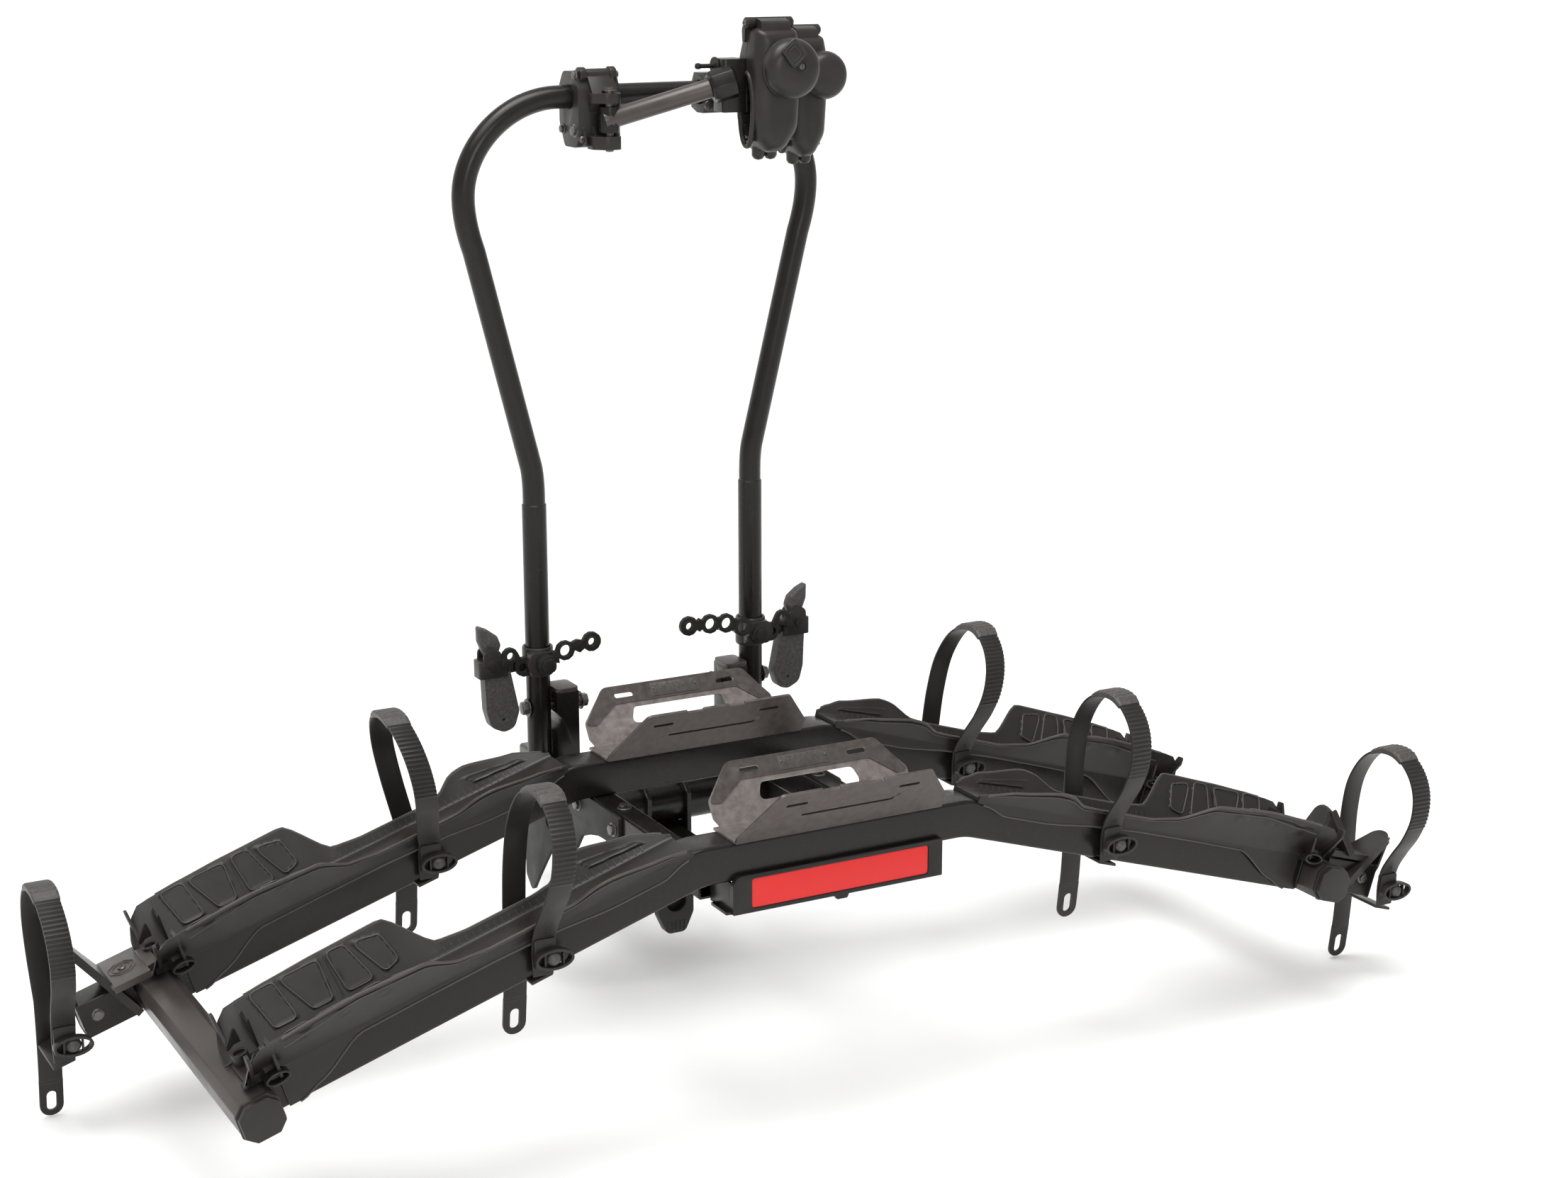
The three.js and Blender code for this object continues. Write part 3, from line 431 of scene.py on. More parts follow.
def surface(name, color, roughness, metallic=0.0, mottle=0.12, mottle_mm=30, grain_mm=0.9,
            grain=0.25, edge=0.35, coat=0.0, shine=0.3):
    """A moulded or painted surface: cloudy colour, fine grain, and slightly brighter edges, a painted
    highlight that is partly edge wear.
    """
    material, tree, shader, place = blank_material(name)
    cloud = node(tree, "ShaderNodeTexNoise", Vector=place, Scale=1 / (mottle_mm * MM), Detail=4.0)
    speck = node(tree, "ShaderNodeTexNoise", Vector=place, Scale=1 / (grain_mm * MM), Detail=2.0)
    light = spread(tree, cloud.outputs["Fac"], 1 - mottle, 1 + mottle)
    fleck = spread(tree, speck.outputs["Fac"], 1 - mottle, 1 + mottle)
    shade = combined(tree, "ShaderNodeMath", "MULTIPLY", light, fleck)
    tint = tree.nodes.new("ShaderNodeVectorMath")
    tint.operation = "SCALE"
    tint.inputs[0].default_value = color
    tree.links.new(shade.outputs[0], tint.inputs["Scale"])
    # Painted highlight, partly edge wear: sharp edges are mixed towards a lighter copy of the colour, as
    # strongly as the look's edge number says.
    wear_and_highlight = node(tree, "ShaderNodeMix", Factor=0.0)
    wear_and_highlight.data_type = "RGBA"
    wear_and_highlight_strength = combined(tree, "ShaderNodeMath", "MULTIPLY", wear_and_highlight_mask(tree, WEAR_AND_HIGHLIGHT_MM * MM), edge)
    tree.links.new(wear_and_highlight_strength.outputs[0], wear_and_highlight.inputs["Factor"])
    tree.links.new(tint.outputs["Vector"], wear_and_highlight.inputs[6])
    wear_and_highlight.inputs[7].default_value = (*[min(1.0, c * 2.2 + 0.05) for c in color], 1)
    tree.links.new(wear_and_highlight.outputs[2], shader.inputs["Base Color"])
    rough = spread(tree, cloud.outputs["Fac"], roughness - 0.05, roughness + 0.07)
    tree.links.new(rough, shader.inputs["Roughness"])
    bump = node(tree, "ShaderNodeBump", Strength=grain, Distance=BUMP_MM * MM, Height=speck.outputs["Fac"])
    tree.links.new(bump.outputs["Normal"], shader.inputs["Normal"])
    shader.inputs["Metallic"].default_value = metallic
    shader.inputs["Coat Weight"].default_value = coat
    shader.inputs["Specular IOR Level"].default_value = shine
    return material


def reflector_film():
    """Red film with a fine honeycomb of prisms under a clear face, and a faint painted glow."""
    material = surface("red_lens", (0.60, 0.020, 0.018), 0.36, mottle=0.02, grain=0.05, edge=0.1)
    tree = material.node_tree
    shader = tree.nodes["Principled BSDF"]
    place = tree.nodes.new("ShaderNodeTexCoord").outputs["Object"]
    cells = node(tree, "ShaderNodeTexVoronoi", Vector=place, Scale=1 / (PRISM_MM * MM), Randomness=0.0)
    cells.feature = "DISTANCE_TO_EDGE"
    bump = node(tree, "ShaderNodeBump", Strength=0.25, Distance=0.1 * MM, Height=cells.outputs["Distance"])
    tree.links.new(bump.outputs["Normal"], shader.inputs["Normal"])
    # Painted glow: a faint red emission, though the reflector is no lamp.
    shader.inputs["Emission Color"].default_value = (0.9, 0.05, 0.04, 1)
    shader.inputs["Emission Strength"].default_value = 0.04
    return material


SHEET_TEXTURE = {"mottle": 0.2, "mottle_mm": 9, "grain_mm": 0.6, "grain": 0.3}
# Each look's edge number sets how strongly its sharp edges get the painted highlight, which is partly edge
# wear.
LOOKS = {
    "black_paint": surface(
        "black_paint", (0.0075, 0.0062, 0.0056), 0.28, mottle=0.1, grain_mm=0.5, grain=0.1,
    ),
    "grey_sheet": surface("grey_sheet", (0.210, 0.184, 0.174), 0.38, 0.6, **SHEET_TEXTURE),
    # Painted shade: a darker copy of the grey sheet for the cradle's front sheet and band, whose steeper
    # faces get less light.
    "grey_sheet_shaded": surface("grey_sheet_shaded", (0.085, 0.073, 0.068), 0.40, 0.5, **SHEET_TEXTURE),
    "arm_paint": surface("arm_paint", (0.075, 0.065, 0.061), 0.33, 0.5, mottle=0.06, grain_mm=0.5, grain=0.1),
    "tray_plastic": surface("tray_plastic", (0.0165, 0.0135, 0.0122), 0.36, grain_mm=0.8, edge=0.6),
    # Painted highlight: a lighter copy of the tray plastic for the rim and panel beads, so that they read as
    # edges catching the light.
    "tray_highlight_plastic": surface("tray_highlight_plastic", (0.060, 0.051, 0.047), 0.34, grain_mm=0.8),
    "clamp_plastic": surface("clamp_plastic", (0.020, 0.0168, 0.0155), 0.34, grain_mm=0.6, edge=0.5),
    "strap_plastic": surface(
        "strap_plastic", (0.016, 0.0138, 0.013), 0.38, mottle=0.08, grain_mm=0.7, edge=0.5,
    ),
    "pad_plastic": surface("pad_plastic", (0.062, 0.057, 0.054), 0.45, mottle=0.3, mottle_mm=4, edge=0.4),
    "rubber": surface("rubber", (0.011, 0.0102, 0.0098), 0.5, shine=0.25),
    "red_lens": reflector_film(),
    "zinc": surface(
        "zinc", (0.12, 0.112, 0.108), 0.33, 0.85, mottle=0.15, mottle_mm=4, grain_mm=0.4, grain=0.15,
    ),
}


# ---- the drooping wings ----
def wing_point(run, height):
    """Where a point at a run out along the wing, and a height above the beam's top, lies in X and Z."""
    lift = height - BEND_Z
    x = BEND_X + run * math.cos(DROOP) + lift * math.sin(DROOP)
    z = BEND_Z - run * math.sin(DROOP) + lift * math.cos(DROOP)
    return x, z


def on_wing(solid, y=0.0):
    """Lays a solid drawn as (run, y, height) on the right wing."""
    points = []
    for p in solid.points:
        x, z = wing_point(p.x, p.z)
        points.append((x, p.y + y, z))
    return Solid(points, solid.faces)


def beam_half(height):
    """Half of a beam's line at one height: the middle, the soft bend and the wing's end."""
    corner = BEND_X + (height - BEND_Z) * math.tan(DROOP / 2)
    start = Vector((corner - BEND_SOFT, height))
    middle = Vector((corner, height))
    after = middle + Vector((math.cos(DROOP), -math.sin(DROOP))) * BEND_SOFT
    steps = 8
    bend = []
    for k in range(steps + 1):
        t = k / steps
        bend.append(start * (1 - t) ** 2 + middle * 2 * t * (1 - t) + after * t**2)
    return [*bend, Vector(wing_point(WING_END, height))]


def beam():
    section = rounded(
        [(-BEAM_HALF, -BEAM_HEIGHT), (BEAM_HALF, -BEAM_HEIGHT), (BEAM_HALF, 0), (-BEAM_HALF, 0)], 4.5,
    )
    lines = [(y, beam_half(h)) for y, h in section]
    right = [[(line[i].x, y, line[i].y) for y, line in lines] for i in range(len(lines[0][1]))]
    left = [[(-x, y, z) for x, y, z in ring] for ring in reversed(right)]
    return loft([*left, *right])


# ---- wheel trays ----
# Stations along a wing: run, then half width and height of the front wall and of the back wall, then the
# skirt's depth.
TRAY_STATIONS = [
    (6, 29, 7, 29, 8, 2), (22, 34, 13, 36, 14, 4), (48, 42, 21, 44, 22, 12), (112, 45, 30, 48, 34, 12),
    (128, 44, 29, 47, 32, 11), (158, 33, 17, 34, 18, 8), (180, 32, 16, 32, 16, 6), (262, 32, 16, 32, 16, 3),
    (300, 40, 24, 34, 19, 3), (344, 62, 52, 64.5, 59, 3), (424, 64.5, 57, 64.5, 57, 4),
    (482, 64.5, 54, 64.5, 54, 34), (508, 64.5, 52, 64.5, 52, 44.5), (522, 64.5, 51, 64.5, 51, 44.5),
]
TRAY_SKIN = 3.2
FLOOR_HALF = 23.0
FLOOR_H = 4.0
SKIRT = (25.6, 28.6)
# Raised panels on the pocket's inner walls: run and distance up the wall of each corner.
POCKET_PANELS = [
    [(507, 60), (497, 13), (470, 13), (477, 60)],
    [(471, 60), (451, 13), (428, 13), (424, 60)],
    [(414, 62), (410, 13), (378, 13), (392, 62)],
    [(384, 60), (364, 14), (345, 20), (352, 54)],
]
FLARE_PANEL = [[(118, 24), (108, 13), (40, 10), (46, 16)]]
PANEL_RISE = 1.5
RIB_RUN = 419.0
TICK_START = 44
TICK_PITCH = 9
TICK_COUNT = 30


def tray_sizes(run):
    """The tray's five sizes at a run, eased between its stations."""
    for before, after in zip(TRAY_STATIONS, TRAY_STATIONS[1:]):
        if run <= after[0]:
            t = (run - before[0]) / (after[0] - before[0])
            ease = t * t * (3 - 2 * t) * 0.5 + t * 0.5
            return [a + (b - a) * ease for a, b in zip(before[1:], after[1:])]
    return list(TRAY_STATIONS[-1][1:])


def wall_size(run, side):
    """Half width and height of the back wall for side 1, or of the front wall for side -1."""
    front_w, front_h, back_w, back_h, _ = tray_sizes(run)
    return (back_w, back_h) if side > 0 else (front_w, front_h)


def inner_wall(run, side):
    """The foot of an inner wall in (half width, height), the way up it and the way inward."""
    wide, high = wall_size(run, side)
    foot = Vector((FLOOR_HALF, FLOOR_H))
    along = (Vector((wide - TRAY_SKIN, high)) - foot).normalized()
    return foot, along, Vector((-along.y, along.x))


def inside_panel(run, up, panel):
    """How far a point is inside a panel's edges, negative outside."""
    depth = 1e3
    centre = sum((Vector(p) for p in panel), Vector((0, 0))) / len(panel)
    for a, b in zip(panel, panel[1:] + panel[:1]):
        edge = Vector(b) - Vector(a)
        normal = Vector((-edge.y, edge.x)).normalized()
        if normal.dot(centre - Vector(a)) < 0:
            normal = -normal
        depth = min(depth, normal.dot(Vector((run, up)) - Vector(a)))
    return depth


def soft_step(value, width):
    t = min(max(value / width + 0.5, 0), 1)
    return t * t * (3 - 2 * t)


def wall_relief(run, up):
    """How far the inner wall stands out: raised panels, a bead round each, and one rib."""
    rise = 0.0
    for panel in POCKET_PANELS + FLARE_PANEL:
        depth = inside_panel(run, up, panel)
        rise = max(rise, PANEL_RISE * soft_step(depth, 1.8))
        rise += 0.7 * math.exp(-((depth - 0.8) / 0.9) ** 2)
    if 12 < up < 62 and run > 340:
        rise += 1.0 * math.exp(-((run - RIB_RUN) / 1.3) ** 2)
    return rise


def outer_relief(run, share):
    """The outer wall's lip under the rim, and three small scoops."""
    rise = 1.6 * soft_step(share - 0.9, 0.05)
    for centre in (386, 434, 482):
        slant = run - centre - (0.78 - share) * 40
        rise += 1.8 * math.exp(-((slant / 9) ** 4)) * soft_step(share - 0.62, 0.06) * soft_step(
            0.84 - share, 0.05,
        )
    return rise


def tray_ring(run):
    """The tray's section at one run as (y, height) points, with the relief pushed out of its walls."""
    front_w, front_h, back_w, back_h, skirt = tray_sizes(run)
    corners = []
    for side, wide, high in ((1, back_w, back_h), (-1, front_w, front_h)):
        wall = [
            (side * SKIRT[1], -skirt, 0.8, 3), (side * SKIRT[1], 1.5, 3, 10), (side * wide, high, 1.6, 1),
            (side * (wide - TRAY_SKIN), high, 1.6, 28), (side * FLOOR_HALF, FLOOR_H, 7, 5),
        ]
        under = [(side * SKIRT[0], 0.4, 0.5, 3), (side * SKIRT[0], -skirt, 0.5, 1)]
        corners.append((wall, under))
    (back_wall, back_under), (front_wall, front_under) = corners
    order = [*back_wall, *front_wall[::-1], *front_under[::-1], *back_under]
    # Each corner's last number splits the stretch after it; the front half runs the other way round.
    splits = [3, 10, 1, 28, 6, 28, 1, 10, 3, 1, 3, 2, 3, 1]
    ring = []
    total = len(order)
    arcs = rounded([c[:3] for c in order], 1.0, 3)
    for i in range(total):
        arc = arcs[i * 4:(i + 1) * 4]
        following = arcs[(i + 1) % total * 4]
        start = arc[-1]
        ring.extend(arc)
        for k in range(1, splits[i]):
            t = k / splits[i]
            point = Vector(start).lerp(Vector(following), t)
            ring.append(tuple(point + wall_offset(i, run, point, order)))
    return ring


# The foot and rim corners of the stretches that carry relief: 3 and 5 are inner walls, 1 and 7 outer.
WALL_ENDS = {3: (4, 3), 5: (5, 6), 1: (1, 2), 7: (8, 7)}


def wall_offset(stretch, run, point, order):
    """The relief's push at a point on one stretch of the section."""
    if stretch not in WALL_ENDS:
        return Vector((0, 0))
    foot, rim = [Vector(order[i][:2]) for i in WALL_ENDS[stretch]]
    along = (rim - foot).normalized()
    up = (point - foot).dot(along)
    push = Vector((-along.y, along.x)) * (1 if stretch in (3, 7) else -1)
    if stretch in (3, 5):
        return push * wall_relief(run, up)
    return push * outer_relief(run, up / max((rim - foot).length, 1e-3))


def tray_runs():
    """Runs of the tray's rings, close together where the walls carry detail."""
    runs = []
    run = TRAY_STATIONS[0][0]
    while run < TRAY_STATIONS[-1][0]:
        runs.append(run)
        run += 2.0 if 336 < run < 514 else 3.5
    return [*runs, TRAY_STATIONS[-1][0]]


def tray_shell():
    rings = [[(run, y, h) for y, h in tray_ring(run)] for run in tray_runs()]
    return loft(rings)


def tray_ticks():
    """Short ridges along both inner walls, from the flare through the neck."""
    ticks = []
    for k in range(TICK_COUNT):
        run = TICK_START + TICK_PITCH * k
        for side in (1, -1):
            foot, along, inward = inner_wall(run, side)
            a = foot + along * 2.0 - inward
            b = foot + along * 9.0 - inward
            tip_b = b + inward * 1.7
            tip_a = a + inward * 1.9
            outline = [(side * p.x, p.y) for p in (a, b, tip_b, tip_a)]
            ticks.append(prism("x", outline, run - 0.7, run + 0.7))
    return joined(ticks)


# The cheeks at the pocket's open end: run, half width and height.
CHEEK_STATIONS = [(520, 64.5, 51), (535, 64.2, 49), (546, 61, 40), (553, 57, 30), (558, 52, 18), (561, 44, 8)]


def tray_end():
    """The pocket's open end over the cross tube: lowering cheeks, ribs, a hollow boss and a finger loop."""
    cheeks = []
    for side in (1, -1):
        rings = []
        for run, wide, high in CHEEK_STATIONS:
            section = rounded([(side * SKIRT[1], 1.5), (side * wide, high), (side * (wide - 3.4), high),
                               (side * (SKIRT[1] - 4), 4.5)], 1.4, 3)
            rings.append([(run, y, h) for y, h in section])
        cheeks.append(loft(rings))
        rib = [(534, 4), (557, 4), (551, 20), (536, 38)]
        cheeks.append(prism("y", rounded(rib, 2), side * 37 - 1.4, side * 37 + 1.4))
        rib = [(520, 3), (523, 3), (523, 40), (520, 44)]
        cheeks.append(prism("y", rib, *sorted((side * 26, side * 50))))
        flange = rounded(
            [(side * 40, 3), (side * 66, 40), (side * 66, 50), (side * 58, 50), (side * 34, 8)], 2, 3,
        )
        cheeks.append(prism("x", flange, 548, 551.5))
    floor = prism("z", rounded([(518, -27), (556, -27, 10), (556, 27, 10), (518, 27)], 2), 0.6, 4.4)
    boss = ring_of(rectangle((6.4, 9.6), (0, 15), 0.8, 2), 28).shifted(x=544, y=15, z=3.5)
    slot_bar = box((536, 552), (14.2, 15.8), (14, 16))
    turns = [2 * math.pi * k / 28 for k in range(28)]
    path = [Vector((526 + 13 * math.cos(t), -46, 4 + 6 * math.sin(t))) for t in turns]
    loop = sweep(path, rounded([(-7, -1.3), (7, -1.3), (7, 1.3), (-7, 1.3)], 1.0, 3), FORWARD, closed=True)
    return joined([*cheeks, floor, boss, slot_bar, loop])


def wall_line(points, side):
    """A line of (run, distance up) points laid on a pocket's inner wall."""
    path = []
    for run, up in points:
        foot, along, inward = inner_wall(run, side)
        place = foot + along * up + inward * (PANEL_RISE + 0.5)
        path.append(Vector((run, side * place.x, place.y)))
    return path


def tray_beads():
    """Round beads along each wall's rim and skirt, and round the raised panels inside the pocket."""
    beads = []
    runs = [14 + 8 * k for k in range(63)]
    for side in (1, -1):
        for share, radius in ((1.0, 1.5), (0.86, 0.8), (0.0, 1.2)):
            path = []
            for run in runs:
                wide, high = wall_size(run, side)
                foot_y, foot_h = SKIRT[1], -tray_sizes(run)[-1]
                y = foot_y + (wide - foot_y) * share
                path.append(Vector((run, side * (y + 0.1), foot_h + (high - foot_h) * share - radius * 0.4)))
            beads.append(sweep(path, circle((0, 0), radius, 8), FORWARD))
        for panel in POCKET_PANELS:
            path = wall_line(rounded(panel, 7, 5), side)
            normal = (path[6] - path[0]).cross(path[12] - path[0]).normalized()
            beads.append(sweep(path, circle((0, 0), 0.9, 8), normal, closed=True))
    return joined(beads)


def add_trays():
    shell = on_wing(tray_shell() + tray_ticks())
    beads = on_wing(tray_beads())
    end = on_wing(tray_end())
    for wing, side, y in WINGS:
        name = f"{wing}_tray"
        nodes = [f"tray_{wing}"]
        finish(f"{name}_shell", shell.shifted(y=y), "platform", "tray_plastic", nodes, side=side, smooth=40)
        finish(f"{name}_end", end.shifted(y=y), "platform", "tray_plastic", bevel=0.5, side=side)
        # The beads take the lighter copy of the tray plastic, a painted highlight.
        finish(f"{name}_beads", beads.shifted(y=y), "platform", "tray_highlight_plastic", side=side, smooth=60)


# ---- beams and cross tubes ----
CAP_GAP = 0.3
WELD_RUN = 533.4


def octagon(s, h, chamfer, radius):
    corners = [
        (s[0] + chamfer, h[0]), (s[1] - chamfer, h[0]), (s[1], h[0] + chamfer), (s[1], h[1] - chamfer),
        (s[1] - chamfer, h[1]), (s[0] + chamfer, h[1]), (s[0], h[1] - chamfer), (s[0], h[0] + chamfer),
    ]
    return rounded(corners, radius, 3)


def add_beams():
    for name, y in (("back_beam", 0.0), ("front_beam", -PITCH)):
        finish(f"{name}_tube", beam().shifted(y=y), "platform", "black_paint", [name], bevel=0)


def grown(span, by):
    return span[0] - by, span[1] + by


def end_cap(y, face):
    """A push-in cap with a raised octagonal face. Face is -1 for the front end, 1 for the back."""
    low, high = mm_box("front_cap_left")
    flange = octagon(grown(TUBE_RUN, 1), grown(TUBE_H, 1), 10, 3)
    block = octagon(grown(TUBE_RUN, -0.5), grown(TUBE_H, -0.5), 10.5, 3)
    return prism("y", flange, y, y + face * 4) + prism("y", block, y + face * 3, y + face * (high.y - low.y))


def add_end_tubes():
    tube = on_wing(prism("y", octagon(TUBE_RUN, TUBE_H, 9, 4), *TUBE_Y))
    finish_pair("cross_tube", tube, "platform", "arm_paint", "end_tube", bevel=0.8)
    for where, y, face in (("front", TUBE_Y[0] - CAP_GAP, -1), ("back", TUBE_Y[1] + CAP_GAP, 1)):
        cap = on_wing(end_cap(y, face))
        finish_pair(f"{where}_end_cap", cap, "platform", "clamp_plastic", f"{where}_cap", bevel=1.0)
    seams = [row + edge for row in (0, -PITCH) for edge in (-BEAM_HALF, BEAM_HALF)]
    welds = [rod((WELD_RUN, y, -2), (WELD_RUN, y, -43), 2.2, 10) for y in seams]
    finish_pair("cross_tube_welds", on_wing(joined(welds)), "platform", "black_paint")


# ---- sheet metal cradles ----
CRADLE_HALF = 137.0
CRADLE_TOP = 99.0
SHEET = 3.0
CRADLE_TALL = 76.0
# The foot and top of each cradle sheet, as (y, height).
BACK_LINE = ((26, 1.5), (69, 66))
FRONT_LINE = ((-26, 1.5), (-67.8, 65))


def leaning(solid, line):
    """Stands a plate, drawn in XZ with its face to -Y and its foot at Z 0, along a line in YZ."""
    foot, top = line
    along = (Vector(top) - Vector(foot)).normalized()
    across = Vector((along.y, -along.x))
    points = [
        (p.x, foot[0] + along.x * p.z + across.x * p.y, foot[1] + along.y * p.z + across.y * p.y)
        for p in solid.points
    ]
    return Solid(points, solid.faces)


def cradle_outline():
    tall = CRADLE_TALL
    return rounded([
        (-126, 0, 2), (-133, 12, 5), (-133, 34, 10), (-CRADLE_TOP, tall, 13), (CRADLE_TOP, tall, 13),
        (133, 34, 10), (133, 12, 5), (126, 0, 2),
    ], 5, 6)


def hand_slots():
    return [stadium((side * 72, 63), 27, 6.5) for side in (-1, 1)]


def cradle_back():
    window = rounded([(-70, 24), (70, 24), (62, 46), (-62, 46)], 8, 6)
    sheet = prism("y", cradle_outline(), 0, SHEET, [window, *hand_slots()])
    return leaning(sheet, BACK_LINE)


def cradle_lip():
    """The upper band of the back sheet, folded a little forward, with two legs down its ends."""
    band = rounded([
        (-134, 30, 5), (-CRADLE_TOP - 1, CRADLE_TALL, 13), (CRADLE_TOP + 1, CRADLE_TALL, 13), (134, 30, 5), (
            118, 28, 5,
        ),
        (86, 52, 9), (-86, 52, 9), (-118, 28, 5),
    ], 8, 6)
    return leaning(prism("y", band, -1.3, 0.2, hand_slots()), BACK_LINE)


def cradle_plate():
    """A plain plate riveted to the middle of the band."""
    plate = prism("y", rounded([(-34, 55), (34, 55), (34, 72), (-34, 72)], 1.5, 3), -2.0, -1.0)
    rivets = joined(
        [turned([(1.6, 0), (1.6, 0.5), (1.0, 1.0)], 12).moved(at((x, -1.9, 65), FACING)) for x in (-30, 30)]
    )
    return leaning(plate + rivets, BACK_LINE)


def cradle_front():
    tall = CRADLE_TALL
    slit = rounded([(-62, 33), (58, 33), (68, 42), (64, 44), (55, 36.5), (-62, 36.5)], 1.5, 3)
    slots = [stadium((side * 74, 56), 28, 4.5) for side in (-1, 1)]
    top = []
    for x in (-46, 12):
        top += [(x, tall, 1), (x + 1, tall - 3, 1), (x + 22, tall - 3, 1), (x + 23, tall, 1)]
    outline = rounded([
        (-CRADLE_HALF, 0, 1), (-CRADLE_HALF, 9, 6), (-CRADLE_TOP, tall, 9), *top, (CRADLE_TOP, tall, 9),
        (CRADLE_HALF, 22, 6), (CRADLE_HALF, 0, 1),
    ], 4, 4)
    sheet = prism("y", outline, -SHEET, 0, [slit, *slots])
    return leaning(sheet, FRONT_LINE)


def cradle_slot_shade_strips():
    """Thin black strips behind the front sheet's slots and slit, painted shade for the dark inside seen
    through them.
    """
    backs = [
        prism("y", rectangle((side * 74 - 14, side * 74 + 14), (52.5, 59.5), 1), 0.1, 0.7)
        for side in (-1, 1)
    ]
    backs.append(prism("y", rectangle((-64, 60), (31.5, 38), 1), 0.1, 0.7))
    return leaning(joined(backs), FRONT_LINE)


def cradle_floor():
    return prism("z", rectangle((-CRADLE_HALF, CRADLE_HALF), (-27.5, 27.5), 2), 0.4, 3.2)


def add_cradles():
    for row, y in (("back", 0.0), ("front", -PITCH)):
        screws = [bolt((x, 0, 3.0), UP, 6.0) for x in (-60, 60)]
        screws += [button((side * 127, -27.5, 7.5), (0, -1, 0.6), 3.4, 2.0) for side in (-1, 1)]
        # The front sheet and the band take the darker copy of the sheet, painted shade.
        pieces = (
            ("sheet", cradle_back() + cradle_floor(), "grey_sheet", 0.5), (
                "lip", cradle_front(), "grey_sheet_shaded", 0.5,
            ),
            # The slots piece is painted shade: black strips behind the openings.
            ("slots", cradle_slot_shade_strips(), "rubber", 0.0), ("band", cradle_lip(), "grey_sheet_shaded", 0.4),
            ("plate", cradle_plate(), "zinc", 0.2), ("bolts", joined(screws), "zinc", 0.0),
        )
        for part, solid, look, bevel in pieces:
            nodes = [f"{row}_cradle"] if part == "sheet" else []
            finish(f"{row}_cradle_{part}", solid.shifted(y=y), "platform", look, nodes, bevel=bevel)


# ---- ladder straps ----
# The strap's loop in Y and height above its wing: up the front, over the tyre, down the back, and the tail.
STRAP_LINE = [
    (-33, -46), (-34, -20), (-40, 6), (-56, 32), (-76, 60), (-90, 92), (-91, 124), (-78, 150),
    (-52, 167), (-20, 165), (10, 147), (34, 110), (44, 64), (46, 16), (45, -30), (48, -88), (56, -150),
]
STRAP_TOP = 167
STRAP_X = (378, 826)
STRAP_LEAN = {
    "strap_back_left": 44, "strap_back_right": 20, "strap_front_left": -4, "strap_front_right": 0,
    "pull_out_left": 14, "pull_out_right": 0,
}
STRAP_STEPS = 18
RIDGES = (4.4, 7.6)
CAP = (7.6, 9.4)
TAIL_SLOT = 15.35


def leaned(solid, ground, lean):
    """Leans everything above the wing outward, the most at the loop's top."""
    points = [(p.x + lean * max(p.z - ground, 0) / STRAP_TOP, p.y, p.z) for p in solid.points]
    return Solid(points, solid.faces)


def strap_line(x, ground):
    return [Vector((x, p.x, p.y + ground)) for p in smooth_line(STRAP_LINE, STRAP_STEPS)]


def strap_band(line):
    """The band itself, with ridges across it below the cap."""
    end = int(TAIL_SLOT * STRAP_STEPS)
    rings = []
    for i, point in enumerate(line[:end]):
        place = i / STRAP_STEPS
        tangent = (line[i + 1] - line[max(i - 1, 0)]).normalized()
        normal = ACROSS.cross(tangent).normalized()
        thick = STRAP_THICK / 2
        ridged = RIDGES[0] < place < RIDGES[1]
        rise = 1.1 if i % 3 == 1 else -0.1
        out = thick + (rise if ridged else 0.0)
        wide = STRAP_HALF * (1.0 if place > 1.2 else 0.86 + 0.12 * place)
        section = rounded([(-wide, -thick), (wide, -thick), (wide, out), (-wide, out)], 0.9, 2)
        rings.append([point + ACROSS * a + normal * b for a, b in section])
    return loft(rings)


def strap_tail_end(line):
    """The flat slotted end that hangs below the wing."""
    start = line[int(TAIL_SLOT * STRAP_STEPS) - 2]
    end = line[-1]
    length = (end - start).length
    outline = stadium((0, length / 2), length, STRAP_HALF * 2, math.pi / 2, 10)
    outline = [(a, b) for a, b in outline if b > STRAP_HALF] + [(-STRAP_HALF, 0), (STRAP_HALF, 0)]
    slot = stadium((0, length - 20), 26, 11.5, math.pi / 2, 8)
    plate = prism("z", outline, -STRAP_THICK / 2, STRAP_THICK / 2, [slot])
    along = (end - start).normalized()
    normal = ACROSS.cross(along)
    basis = Matrix((ACROSS, along, normal)).transposed().to_4x4()
    return plate.moved(Matrix.Translation(start) @ basis)


def strap_cap(line):
    """The moulded sleeve over the top of the loop, with grip ribs."""
    first, last = int(CAP[0] * STRAP_STEPS), int(CAP[1] * STRAP_STEPS)
    rings = []
    for i in range(first, last + 1):
        t = (i - first) / (last - first)
        tangent = (line[i + 1] - line[i - 1]).normalized()
        normal = ACROSS.cross(tangent).normalized()
        swell = 1 - (2 * t - 1) ** 6
        rib = 0.9 if i % 4 in (1, 2) and 0.15 < t < 0.85 else 0.0
        half = STRAP_HALF + 0.8 + 0.6 * swell
        top = 3.0 + 1.6 * swell + rib
        section = rounded([(-half, -3.0), (half, -3.0), (half, top - 1.4), (half - 3, top), (-half + 3, top),
                           (-half, top - 1.4)], 1.0, 2)
        rings.append([line[i] + ACROSS * a + normal * b for a, b in section])
    return loft(rings)


